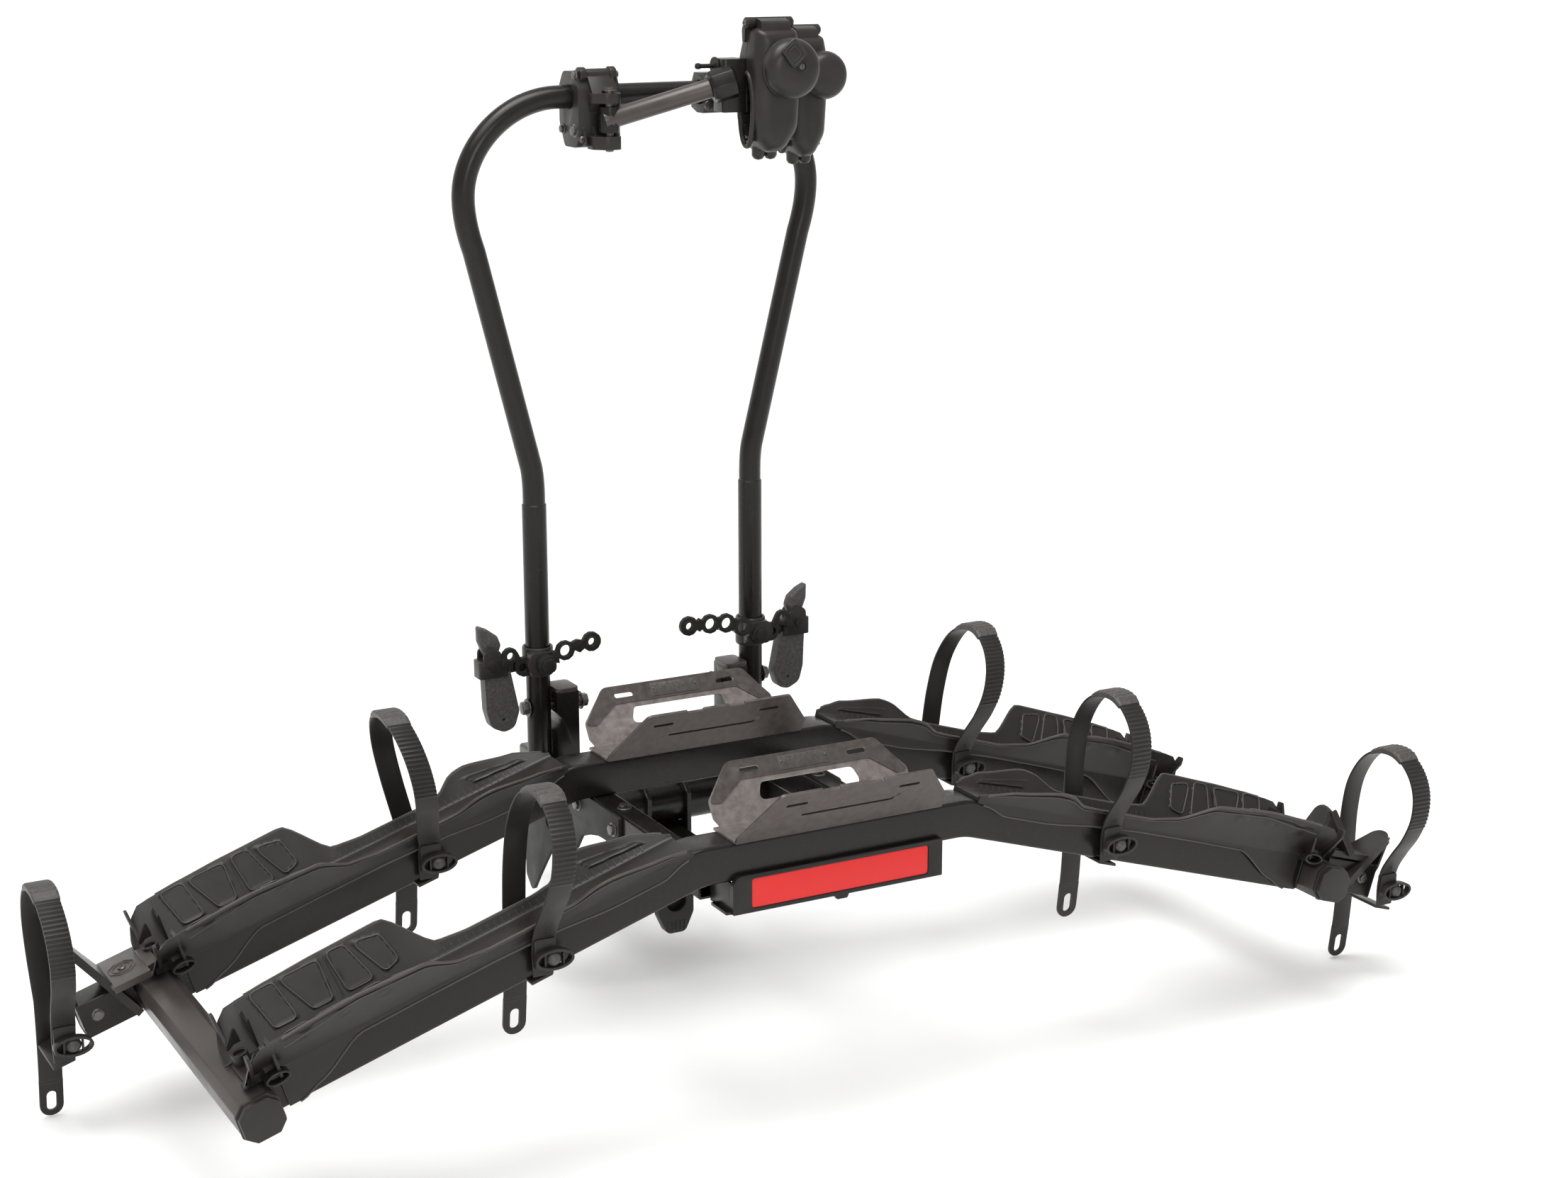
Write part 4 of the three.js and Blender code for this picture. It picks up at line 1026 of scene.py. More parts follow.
def strap_saddle(x, ground):
    """The plate that runs under the beam."""
    under = ground - BEAM_HEIGHT / math.cos(DROOP) - 1.2
    slope = math.tan(DROOP) * 13
    outline = rounded([(x - 13, under - 4 + slope), (x + 13, under - 4 - slope), (x + 13, under - slope),
                       (x - 13, under + slope)], 1.2, 2)
    return prism("y", outline, -31, 44)


def strap_buckle(x, ground, side):
    """The front block, and the oval finger ring with a round release between two bars."""
    corners = [(x - 12, ground - 36), (x + 12, ground - 36), (x + 13, ground - 1), (x - 13, ground - 1)]
    block = prism("y", rounded(corners, 4, 4), -41, -33.5)
    centre = (x + side * 8, ground - 24)
    opening = circle(centre, 19.8, 36, 0.45)
    rim = prism("y", circle(centre, 23, 36, 0.53), -50, -40, [opening])
    bars = [
        box((centre[0] + a - 1, centre[0] + a + 1), (-48, -42), (centre[1] - 9.5, centre[1] + 9.5))
        for a in (-11, 11)
    ]
    middle = prism("y", circle(centre, 10, 30, 0.95), -44, -40)
    ball = turned([(8.0, 0), (8.4, 2), (7.6, 5), (5.2, 7.6), (2.5, 8.6), (0.3, 8.9)], 28)
    return block, joined([rim, *bars, middle]), ball.moved(at((centre[0], -42.5, centre[1]), FACING))


def strap_screws(line):
    holes = []
    for place, offset in ((1.35, -5.0), (1.35, 5.0), (1.75, 0.0), (2.15, 0.0)):
        i = int(place * STRAP_STEPS)
        tangent = (line[i + 1] - line[i - 1]).normalized()
        normal = ACROSS.cross(tangent).normalized()
        point = line[i] + ACROSS * offset + normal * (STRAP_THICK / 2 - 0.3)
        holes.append(
            turned([(2.6, 0), (2.6, 0.6), (1.7, 0.7), (1.6, 0.1), (0.2, 0.1)], 14).moved(at(point, normal))
        )
    return joined(holes)


def add_straps():
    flat_x, flat_z = wing_point(0, 0)
    jobs = [(f"wheel_strap_{wing}", f"strap_{wing}", side, y, STRAP_X[0]) for wing, side, y in WINGS]
    for name, side, y in EXTENSION_SIDES:
        jobs.append((f"outer_strap_{name}", f"pull_out_{name}", side, y, STRAP_X[1]))
    for node_name, body, side, y, x in jobs:
        ground = flat_z - (x - flat_x) * math.tan(DROOP)
        line = strap_line(x, ground)
        lean = STRAP_LEAN[body]
        block, ring, ball = strap_buckle(x, ground, side)
        pieces = (
            (
                "band", leaned(strap_band(line) + strap_tail_end(line), ground, lean), "strap_plastic",
                {"smooth": 38},
            ),
            ("cap", leaned(strap_cap(line), ground, lean), "pad_plastic", {"smooth": 38}),
            ("block", block + strap_saddle(x, ground), "strap_plastic", {"bevel": 0.8}),
            ("ring", ring, "clamp_plastic", {"bevel": 0.8, "sharp": 50}),
            ("release", ball, "pad_plastic", {}),
            ("screws", leaned(strap_screws(line), ground, lean), "rubber", {}),
        )
        for part, solid, look, style in pieces:
            nodes = [node_name] if part == "band" else []
            finish(f"{node_name}_{part}", solid.shifted(y=y), body, look, nodes, side=side, **style)


# ---- hoop, its feet and the fittings on its legs ----
HOOP_WIDE = (238.0, 684.0)
HOOP_TOP = 802.0
HOOP_FOOT = -43.0
SLEEVE_TOP = 297.0
PIVOT_Z = 29.0


def curve_points(corners, steps):
    """A line, a quadratic or a cubic curve through two to four points in XZ, without its last point."""
    points = []
    for k in range(steps):
        layer = [Vector(c) for c in corners]
        while len(layer) > 1:
            layer = [a.lerp(b, k / steps) for a, b in zip(layer, layer[1:])]
        points.append(layer[0])
    return points


def hoop_line():
    wide_x = HOOP_WIDE[0]
    top = (LEG_X, 305)
    lean = (LEG_X + 3, 345)
    low = (wide_x - 12, 620)
    bar_end = (110, HOOP_TOP)
    stretches = [
        ([(LEG_X, HOOP_FOOT), top], 12), ([top, (LEG_X, 330), lean], 10), ([lean, low], 20),
        ([low, (wide_x, 655), HOOP_WIDE], 12), (
            [HOOP_WIDE, (wide_x, 745), (wide_x - 58, HOOP_TOP), bar_end], 30,
        ),
    ]
    half = [p for corners, steps in stretches for p in curve_points(corners, steps)] + [Vector(bar_end)]
    bar = [Vector((x, HOOP_TOP)) for x in (55, 0, -55)]
    line = half + bar + [Vector((-p.x, p.y)) for p in reversed(half)]
    return [Vector((p.x, HOOP_Y, p.y)) for p in line]


def add_hoop():
    tube = sweep(hoop_line(), circle((0, 0), HOOP_R, 28), FORWARD)
    sleeves = []
    for side in (-1, 1):
        tall = SLEEVE_TOP - HOOP_FOOT
        profile = [(SLEEVE_R - 1.5, 0), (SLEEVE_R, 1), (SLEEVE_R, tall - 1.2), (HOOP_R, tall)]
        sleeves.append(turned(profile, 36).shifted(side * LEG_X, HOOP_Y, HOOP_FOOT))
        rivet = turned([(2.4, -1.2), (2.4, 0.2), (1.4, 0.7), (0.2, 0.8)], 14)
        sleeves.append(rivet.moved(at((side * LEG_X, HOOP_Y - SLEEVE_R + 0.2, 212), FACING)))
    finish("hoop_tube", tube + joined(sleeves), "hoop_frame", "black_paint", ["hoop"], smooth=45)


def pivot_rod(start, end, radius):
    """A rod along the axis that the hoop folds about."""
    return rod((start, HOOP_Y, PIVOT_Z), (end, HOOP_Y, PIVOT_Z), radius)


def add_posts():
    low, high = mm_box("hoop_post_right")
    x0, x1 = low.x, high.x
    top = high.z
    outline = rounded([
        (x0, low.z, 2), (x1, low.z, 2), (x1, -4, 5), (x1 - 7, 4, 6), (x1 - 7, 14, 6), (x1, 22, 5), (
            x1, top - 4, 5,
        ), (x0, top - 4, 3),
    ], 4, 5)
    bore = pivot_rod(x0 - 9, x1 + 9, 6.5)
    body = carved(prism("y", outline, low.y, high.y), [bore])
    finish_pair("hoop_post_body", body, "platform", "black_paint", "hoop_post", bevel=2.0)
    lid = prism("z", rectangle(grown((x0, x1), 0.6), grown((low.y, high.y), 0.6), 7), top - 6, top)
    finish_pair("hoop_post_lid", lid, "platform", "arm_paint", bevel=1.2)
    outer = bolt((170.5, HOOP_Y, PIVOT_Z), ACROSS, 9.0, 8.0)
    inner = bolt((96.5, HOOP_Y, PIVOT_Z), -ACROSS, 9.0, 9.0)
    pivot = joined([pivot_rod(88, 176, 5.8), outer, inner, pivot_rod(96, x0, 8)])
    finish_pair("hoop_pivot", pivot, "platform", "zinc", "hoop_pivot_bolt", bevel=0.5)


STUD_X = 154
STUD_Z = 91.5
STUD_Y = 112.6


def leg_collar():
    """A moulded clamp round the leg with a bolt block in front and ribs at both rims."""
    section = rounded([(16.3, 74), (19.2, 73), (20, 76), (20, 108), (19.2, 111), (16.3, 110)], 1.2, 3)
    ring = ring_of(section, 40).shifted(LEG_X, HOOP_Y)
    ears = [prism("z", rounded([(138, 122), (170, 122), (174, 134), (166, 140), (138, 138)], 6, 4), 78, 105)]
    ears.append(
        prism("y", rounded([(137, 78), (172, 76), (178, 92), (171, 107), (139, 106)], 9, 5), 120.5, 131)
    )
    return joined([ring, *ears])


def leg_stud():
    place = at((STUD_X, STUD_Y, STUD_Z), FACING)
    washer = turned([(12.0, 0), (12.0, 1.4), (10.0, 2.0)], 28).moved(place)
    shank = rod((STUD_X, 130, STUD_Z), (STUD_X, 112, STUD_Z), 6.6)
    head = prism("z", rounded(hexagon(9.4), 1.2, 2), 1.5, 6.4).moved(place)
    return joined([washer, shank, head])


def eye_chain(eyes, waist):
    """An outline that runs round a chain of round eyes, pinched to the waist between them."""
    above, below = [], []
    for i, (u, v, radius) in enumerate(eyes):
        before = Vector(eyes[max(i - 1, 0)][:2])
        after = Vector(eyes[min(i + 1, len(eyes) - 1)][:2])
        along = (after - before).normalized()
        normal = Vector((-along.y, along.x))
        here = Vector((u, v))
        for turn in range(-2, 3):
            angle = math.radians(turn * 32)
            push = normal * math.cos(angle) + along * math.sin(angle)
            above.append(here + push * radius)
            below.append(here - (normal * math.cos(angle) - along * math.sin(angle)) * radius)
        if i == 0:
            above.insert(0, here - along * radius)
        if i == len(eyes) - 1:
            above.append(here + along * radius)
        else:
            middle = here.lerp(after, 0.5)
            step = (after - here).normalized()
            side = Vector((-step.y, step.x)) * waist
            above.append(middle + side)
            below.append(middle - side)
    return [tuple(p) for p in above + below[::-1]]


TAIL_EYES = {
    "left": [(STUD_X, STUD_Z, 7.2), (128, 107, 7.5), (91, 114, 5)],
    "right": [(STUD_X, STUD_Z, 7.2), (128, 105, 7.5), (104, 113, 7.5), (80, 115, 7.5), (49, 116, 5)],
}
LINK_EYES = [(178, 88, 13), (197, 105, 10.5), (214, 93, 11)]


def rubber_tail(eyes):
    holes = [circle((u, v), r, 24) for u, v, r in eyes]
    plate = prism("y", eye_chain([(u, v, 13) for u, v, r in eyes], 9.0), 113.2, 119.4, holes)
    rims = []
    for u, v, r in eyes[1:]:
        rim = ring_of(rectangle((r, r + 2.2), (-3.6, 3.6), 0.8, 2), 24)
        rims.append(rim.moved(at((u, 116.3, v), FACING)))
    return joined([plate, *rims])


def strap_anchor():
    """The pad, its band and the holed link that ties it to the collar."""
    outline = rounded([
        (196, 84, 2), (185, 30, 12), (192, 8, 14), (207, 4, 12), (224, 12, 14), (230, 34, 16), (232, 84, 2),
    ], 8, 6)
    pad = prism("y", outline, 134, 150, [circle((207, 21), 2.2, 14)])
    band = prism("z", rectangle((199, 239), (131, 155), 5), 78, 101)
    lugs = [prism(
        "y", rounded([(208, 92), (234, 92), (233, 112, 8), (222, 119, 8), (209, 112, 8)], 3, 5), y - 2,
        y + 2,
    ) for y in (132.5, 153.5)]
    holes = [circle((181, 88), 5.6, 20), circle((197, 104.5), 5.0, 20)]
    link = prism("y", eye_chain(LINK_EYES, 6.0), 129.5, 136.5, holes)
    tie = prism("y", rounded([(170, 82), (204, 80), (204, 94), (170, 98)], 4, 4), 137, 148)
    return pad, joined([band, *lugs, tie]), link


def cam_blade():
    """A leaf-shaped lever, thick at its root and thin at its tip."""
    outline = rounded([
        (211, 106, 5), (220, 103, 5), (229, 106, 5), (237, 126, 10), (237.5, 147, 3), (224, 141, 12),
        (211, 131, 8), (206.5, 119, 8),
    ], 6, 6)
    rings = []
    for y, shrink in ((135.4, 0.72), (136.4, 0.88), (139.0, 1.0), (147.0, 1.0), (149.6, 0.88), (150.6, 0.72)):
        rings.append([(221 + (u - 221) * shrink, y, 124 + (v - 124) * shrink) for u, v in outline])
    return loft(rings)


def add_leg_fittings():
    pad, band, link = strap_anchor()
    bolts = [bolt((u, 131, v), FACING, 5.4, 3.6) for u, v in ((221, 95), (206, 96))]
    finish_pair("leg_clamp", leg_collar(), "hoop_frame", "clamp_plastic", "leg_collar", bevel=1.0)
    finish_pair("leg_stud", leg_stud(), "hoop_frame", "rubber", bevel=0.6)
    finish_pair("anchor_pad", pad, "hoop_frame", "pad_plastic", "strap_anchor", bevel=2.4, segments=3)
    finish_pair("anchor_band", band, "hoop_frame", "clamp_plastic", bevel=1.4)
    finish_pair("anchor_link", link, "hoop_frame", "rubber", bevel=1.2)
    finish_pair("anchor_bolts", joined(bolts), "hoop_frame", "rubber", bevel=0.4)
    for name, side in SIDES:
        tail = rubber_tail(TAIL_EYES[name])
        finish(
            f"rubber_tail_{name}", tail, f"tail_{name}", "rubber", [f"strap_tail_{name}"], bevel=1.1,
            side=side,
        )
        nodes = [f"cam_blade_{name}"]
        finish(f"cam_leaf_{name}", cam_blade(), f"cam_{name}", "pad_plastic", nodes, side=side, smooth=60)


# ---- frame clamps ----
HEADS = {
    1: {"x": (104, 168), "y": 20, "drop": 0, "knob_x": 144, "knob_r": 37},
    2: {"x": (175, 229), "y": 60, "drop": 12, "knob_x": 212, "knob_r": 30},
}
JAW = 31
HEAD_TOP = 884
HEAD_LOW = 733
PIN_Z = 890
KNOB_Z = 836
KNOB_DEPTH = 28
KEYHOLE = (149, 839)
MOUTH_Z = 785
MOUTH_HALF = (13, 40)


def jaw_outline(x0, x1, inset=0.0):
    wide = x1 - x0
    corners = [
        (x0 + 3, HEAD_TOP, 8), (x0 - 0.5, 850, 40), (x0 - 1, 775, 30), (x0 + 5, 748, 16), (
            x0 + 17, HEAD_LOW, 12,
        ),
        (x0 + wide * 0.62, HEAD_LOW, 26), (x1 - 3, 760, 30), (x1, 805, 30), (x1, 862, 30), (
            x1 - 5, HEAD_TOP, 8,
        ),
    ]
    middle = Vector(((x0 + x1) / 2, (HEAD_TOP + HEAD_LOW) / 2))
    half = Vector((wide / 2, (HEAD_TOP - HEAD_LOW) / 2))
    scale = Vector((1 - inset / half.x, 1 - inset / half.y))
    outline = rounded(corners, 10, 6)
    return [(middle.x + (u - middle.x) * scale.x, middle.y + (v - middle.y) * scale.y) for u, v in outline]


def jaw_shell(x, layers):
    return loft([[(u, y, v) for u, v in jaw_outline(*x, inset)] for y, inset in layers])


def mouth_cutter(x, pin_y, grow=0.0):
    outline = circle(
        (pin_y, MOUTH_Z), MOUTH_HALF[0] + grow, 36, (MOUTH_HALF[1] + grow) / (MOUTH_HALF[0] + grow),
    )
    return prism("x", outline, x[0] - 20, x[1] + 20)


def mouth_teeth(x, pin_y, front):
    """Rubber teeth round one half of the mouth."""
    teeth = []
    for k in range(8):
        turn = math.radians(-66 + 18.8 * k) + (math.pi if front else 0)
        y = pin_y + (MOUTH_HALF[0] + 0.6) * math.cos(turn)
        z = MOUTH_Z + (MOUTH_HALF[1] + 0.6) * math.sin(turn)
        inward = Vector((pin_y - y, (MOUTH_Z - z) * 0.25)).normalized()
        side = Vector((-inward.y, inward.x)) * 3.4
        root = Vector((y, z)) - inward * 1.2
        outline = [tuple(root + side), tuple(root + inward * 4.6), tuple(root - side)]
        teeth.append(prism("x", rounded(outline, 0.8, 2), x[0] + 2, x[1] - 3))
    return joined(teeth)


def mouth_rim(x0, pin_y, front):
    """A raised bead round one half of the mouth, on the head's left face."""
    turns = [math.radians(90 + 180 * k / 24 + (0 if front else 180)) for k in range(25)]
    if not front:
        turns = turns[::-1]
    path = [Vector((x0 - 0.5, pin_y + (MOUTH_HALF[0] + 3.4) * math.cos(t) + (-0.6 if front else 0.6),
                    MOUTH_Z + (MOUTH_HALF[1] + 4.5) * math.sin(t))) for t in turns]
    return sweep(path, circle((0, 0), 3.3, 12), ACROSS)


def front_jaw(head):
    x, y = head["x"], head["y"]
    pin_y = y + JAW + 1
    back = y + JAW + 0.5
    layers = [(y, 20), (y + 1, 14), (y + 3.4, 8.4), (y + 7, 4.2), (y + 12, 1.3), (y + 18, 0.0), (back, 0.0)]
    shell = jaw_shell(x, layers)
    knuckle_x = (x[0] + 10.4, x[1] - 14.4)
    clear = [
        rod((a, pin_y, PIN_Z), (b, pin_y, PIN_Z), 9)
        for a, b in ((x[0] - 5, knuckle_x[0]), (knuckle_x[1], x[1] + 5))
    ]
    stem = rod((head["knob_x"], y - 5, KNOB_Z), (head["knob_x"], y + 16, KNOB_Z), 7.5)
    shell = carved(shell, [mouth_cutter(x, pin_y), *clear, stem])
    barrel = rod((knuckle_x[0], pin_y, PIN_Z), (knuckle_x[1], pin_y, PIN_Z), 7.0, 28)
    web = prism(
        "x", rounded([(y + 5, 870), (y + 12, 892), (pin_y - 4, 896.5), (pin_y + 1, 882)], 6, 4), *knuckle_x,
    )
    return joined([shell, barrel, web, mouth_rim(x[0], pin_y, True)])


def bowed(solid, front):
    """Thins the back jaw towards its hinge, so that its back bows out beside the mouth."""
    points = []
    for p in solid.points:
        reach = min(abs(p.z - MOUTH_Z) / (HEAD_TOP - MOUTH_Z), 1.0)
        share = 1 - (0.62 if p.z > MOUTH_Z else 0.35) * reach**2
        points.append((p.x, front + (p.y - front) * share, p.z))
    return Solid(points, solid.faces)


def back_jaw(head):
    x, y = head["x"], head["y"]
    pin_y = y + JAW + 1
    front, back = y + JAW + 1.5, y + 2 * JAW + 2
    shell = jaw_shell(x, [(front, 0.0), (back - 11, 0.0), (back - 5, 1.2), (back - 1.6, 4.0), (back, 8.0)])
    shell = bowed(shell, front)
    swing = rod((x[0] + 10, pin_y, PIN_Z), (x[1] - 14, pin_y, PIN_Z), 9)
    shell = carved(shell, [mouth_cutter(x, pin_y), swing])
    parts = [shell, mouth_rim(x[0], pin_y, False)]
    for a, b in ((x[0] - 2, x[0] + 10), (x[1] - 14, x[1] - 2)):
        parts.append(rod((a, pin_y, PIN_Z), (b, pin_y, PIN_Z), 7.0, 28))
        parts.append(prism("x", rounded(
            [(pin_y + 1, 886), (pin_y + 4, 893), (pin_y + 9, 882), (pin_y + 8, 866), (pin_y + 2, 868)], 3, 3,
        ), a, b))
    for u in (x[0] + 20, x[0] + 37):
        lobe = [(0.5, 0), (5.6, 1.5), (8.2, 5.5), (8.4, 22)]
        parts.append(turned(lobe, 24).shifted(u, pin_y + 8, HEAD_LOW - 11))
    return joined(parts)


def pin_heads(head):
    pin_y = head["y"] + JAW + 1
    x = head["x"]
    left = turned([(4.6, -1), (4.6, 1.2), (3.6, 2.0), (1.6, 2.0), (1.5, 1.0), (0.2, 1.0)], 20)
    left = left.moved(at((x[0] - 2, pin_y, PIN_Z), -ACROSS))
    shaft = rod((x[0] - 1, pin_y, PIN_Z), (x[1] - 3, pin_y, PIN_Z), 3.5)
    right = turned([(4.6, -1), (4.6, 1.6), (3.4, 2.2), (0.3, 2.2)], 20)
    return joined([left, shaft, right.moved(at((x[1] - 2, pin_y, PIN_Z), ACROSS))])


def knob(head):
    """A wide domed knob with a groove round its side and a stem into the jaw."""
    r = head["knob_r"]
    depth = KNOB_DEPTH - 0.6
    profile = [
        (0.4, depth), (r * 0.40, depth - 0.4), (r * 0.62, depth - 1.5), (r * 0.78, depth - 3.6), (
            r * 0.88, depth - 6.4,
        ),
        (r * 0.95, depth - 10), (r * 0.99, depth - 14), (r, depth - 17), (r, 8), (r - 1.2, 7.2), (
            r - 1.2, 5.6,
        ), (r, 4.8),
        (r - 0.4, 1.6), (r - 4, 0), (7, 0), (7, -14), (0.4, -14),
    ]
    return turned(profile[::-1], 64).moved(at((head["knob_x"], head["y"] - 0.6, KNOB_Z), FACING))


def lock_flap():
    """A cushion-shaped cover that swings over the keyhole, with a plain bead inside its edge."""
    y = HEADS[1]["y"] - KNOB_DEPTH
    middle = Vector((HEADS[1]["knob_x"] - 8, KNOB_Z + 19))
    outline = rounded([(-18, 4, 6), (1, 20, 6), (19, -1, 6), (0, -19, 6)], 6, 6)
    plate = prism("y", [tuple(middle + Vector(p)) for p in outline], y - 4.2, y - 0.6)
    bead = []
    for scale in (0.78, 0.5):
        path = [Vector((middle.x + u * scale, y - 4.2, middle.y + v * scale)) for u, v in outline]
        bead.append(sweep(path, circle((0, 0), 0.7, 6), FORWARD, closed=True))
    return plate, joined(bead)


def add_heads():
    for number, head in HEADS.items():
        arm_body = "arm" if number == 1 else "bar_block_right"
        pin_y = head["y"] + JAW + 1
        jaws = (("front", f"jaw_{number}", front_jaw, True), ("back", arm_body, back_jaw, False))
        low = -head["drop"]
        for where, body, build, front in jaws:
            node_name = f"{where}_jaw_{number}"
            shell = build(head).shifted(z=low)
            finish(f"{node_name}_shell", shell, body, "clamp_plastic", [node_name], smooth=42)
            teeth = mouth_teeth(head["x"], pin_y, front).shifted(z=low)
            finish(f"{node_name}_teeth", teeth, body, "rubber", bevel=0.3)
        finish(f"jaw_pin_{number}", pin_heads(head).shifted(z=low), arm_body, "zinc")
        name = f"knob_{number}"
        finish(f"{name}_body", knob(head).shifted(z=low), name, "clamp_plastic", [name], smooth=40)
    plate, bead = lock_flap()
    finish("lock_flap_cover", plate, "flap", "clamp_plastic", ["lock_flap"], bevel=1.4, segments=3)
    finish("lock_flap_bead", bead, "flap", "clamp_plastic")
    face = HEADS[1]["y"] - KNOB_DEPTH
    x, z = KEYHOLE
    place = at((x, face, z), FACING)
    collar = turned([(7.6, -2), (7.6, 0.8), (6.4, 1.4), (5.0, 0.6), (4.6, -0.6), (0.3, -0.6)], 28)
    finish("lock_collar", collar.moved(place), "knob_1", "rubber")
    barrel = turned([(3.7, -1), (3.7, 0.1), (3.2, 0.5), (0.3, 0.5)], 20)
    finish("lock_barrel", barrel.moved(place), "knob_1", "zinc")
    # Painted shade: a thin black plate on the barrel stands for the dark keyway.
    slit = box(grown((x, x), 0.4), (face - 0.7, face - 0.3), grown((z, z), 2.3))
    finish("lock_keyway_shade", slit, "knob_1", "rubber")


# ---- arm and clamp blocks on the hoop's bar ----
ARM_FROM = Vector((-62, 98, 776))
ARM_TO = Vector((58, 62, 812))
ARM_R = 12.0


def arm_tube():
    eye = ring_of(rectangle((5.6, 12.6), (-15.8, 15.8), 1.2, 3), 36).shifted(*ARM_FROM)
    along = (ARM_TO - ARM_FROM).normalized()
    start = ARM_FROM - along * 6
    length = (ARM_TO - start).length
    tube = turned([(ARM_R + 1.6, 0), (ARM_R + 1.6, 9), (ARM_R, 11), (ARM_R, length)], 36).moved(
        at(start, along)
    )
    return eye, tube


def arm_collar():
    """The black socket between the arm tube and the first clamp, with its locking lever."""
    along = (ARM_TO - ARM_FROM).normalized()
    start = ARM_TO + along * 0.5
    socket = turned([(13, 0), (17, 0), (20, 3), (21, 12), (21, 30), (17, 34)], 8).moved(at(start, along))
    cheek = prism("z", rounded([(72, 54), (107, 52), (107, 92), (76, 90)], 6, 4), 782, 847)
    disc = rod((74, 76, 838), (70, 76, 838), 11, 28, 1.0)
    lever = disc + rod((80, 76, 838), (50, 78, 838), 2.8, 14)
    tip = turned([(0.4, -4), (3.4, -3), (4.4, 0), (3.4, 3), (0.4, 4)], 18).shifted(50, 78, 838)
    return socket + cheek, lever + tip


def clamp_block_left():
    outline = rounded([
        (114, 752, 4), (113, 812, 8), (124, 833, 8), (158, 833, 12), (171, 814, 12), (171, 770, 10),
        (156, 741, 8), (124, 741, 6),
    ], 6, 5)
    main = prism("x", outline, -96, -40)
    bar = rod((-120, HOOP_Y, HOOP_TOP), (-20, HOOP_Y, HOOP_TOP), HOOP_R + 0.6, 36)
    main = carved(main, [bar])
    parts = [main]
    for low, high in ((740, 756), (796, 808)):
        web = rounded(
            [(-84, 116, 2), (-84, 100, 8), (-72, 84, 12), (-52, 84, 12), (-46, 100, 8), (-46, 118, 2)], 8, 5,
        )
        parts.append(prism("z", web, low, high, [circle((ARM_FROM.x, ARM_FROM.y), 5.6, 20)]))
    slope = rounded([(100, 806, 3), (116, 828, 4), (128, 828, 4), (116, 780, 3), (104, 796, 3)], 3, 4)
    parts.append(prism("x", slope, -82, -48))
    for x in (-92, -52):
        parts.append(rod((x, 123, 829), (x + 9, 123, 829), 9.6, 28))
    parts.append(rod((-88, 123, 829), (-46, 123, 829), 7.4, 28))
    for k in range(4):
        x = -91 + 14 * k
        parts.append(prism("x", rounded([(104, 744), (122, 742), (122, 770), (112, 766)], 2, 3), x, x + 3))
    return joined(parts)


def add_arm():
    eye, tube = arm_tube()
    finish("arm_tube", tube, "arm", "arm_paint", ["clamp_arm"], smooth=45)
    finish("arm_eye", eye, "arm", "black_paint")
    socket, lever = arm_collar()
    finish("arm_socket", socket, "arm", "black_paint", bevel=0.8)
    finish("arm_lever", lever, "arm", "rubber")
    block = clamp_block_left()
    finish("bar_block_left_body", block, "bar_block_left", "clamp_plastic", ["clamp_block_left"], bevel=1.2)
    pin = rod((ARM_FROM.x, ARM_FROM.y, 737), (ARM_FROM.x, ARM_FROM.y, 811), 5, 20)
    bolts = [
        bolt((-96, 124, 762), -ACROSS, 6.4, 5), bolt((-96, 160, 762), -ACROSS, 5, 4),
        bolt((-96, 122, 829), -ACROSS, 4.6, 3), bolt((ARM_FROM.x, ARM_FROM.y, 811), UP, 6, 4),
        button((-40, 123, 829), ACROSS, 4.5, 2.0), button((-92, 112, 752), FACING, 4.4),
    ]
    finish("bar_block_left_bolts", joined([pin, *bolts]), "bar_block_left", "zinc", bevel=0.4)
    block = refined("clamp_block_right")
    finish(
        "bar_block_right_body", block, "bar_block_right", "clamp_plastic", ["clamp_block_right"], bevel=1.6,
    )
    bolts = [bolt((88, 124, z), FACING, 4.6, 3.6) for z in (786, 818)]
    finish("bar_block_right_bolts", joined(bolts), "bar_block_right", "zinc", bevel=0.4)


# ---- reflector ----
def add_reflector():
    low, high = mm_box("reflector")
    body_low, body_high = mm_box("reflector_housing")
    x0, x1, z0, z1 = body_low.x, body_high.x, body_low.z, body_high.z
    outline = rounded([(x0, z0, 1.5), (x1, z0, 1.5), (x1, z1, 2), (x0, z1, 15)], 2, 6)
    hole = rectangle((low.x - 0.4, high.x + 0.4), (low.z - 0.4, high.z + 0.4), 4)
    front = body_low.y
    face = [prism("y", outline, front, front + 3.3, [hole]), prism("y", outline, front + 3.1, front + 7)]
    sides = [
        box((x0 + 0.3, x0 + 4), (front + 5, body_high.y), (z0, z1 - 9)),
        box((x1 - 4, x1 - 0.3), (front + 5, body_high.y), (z0, z1 - 9)),
    ]
    tray = box((x0 + 0.3, x1 - 0.3), (front + 5, body_high.y - 8), (z0, z0 + 3))
    lip = box((x0 - 6, x0 + 14), (front + 6, front + 44), (z0 - 0.2, z0 + 3.5))
    tab = prism(
        "y", rounded([(-9, z0 + 2), (11, z0 + 2), (8, z0 - 5, 2), (-6, z0 - 5, 2)], 1, 3), front + 0.4,
        front + 6,
    )
    finish(
        "reflector_case", joined([*face, *sides, tray, lip, tab]), "platform", "black_paint",
        ["reflector_housing"], bevel=0.7,
    )
    lens = prism("y", rectangle((low.x, high.x), (low.z, high.z), 3.6), low.y + 0.6, high.y)
    finish("reflector_lens", lens, "platform", "red_lens", ["reflector"], bevel=0.4)


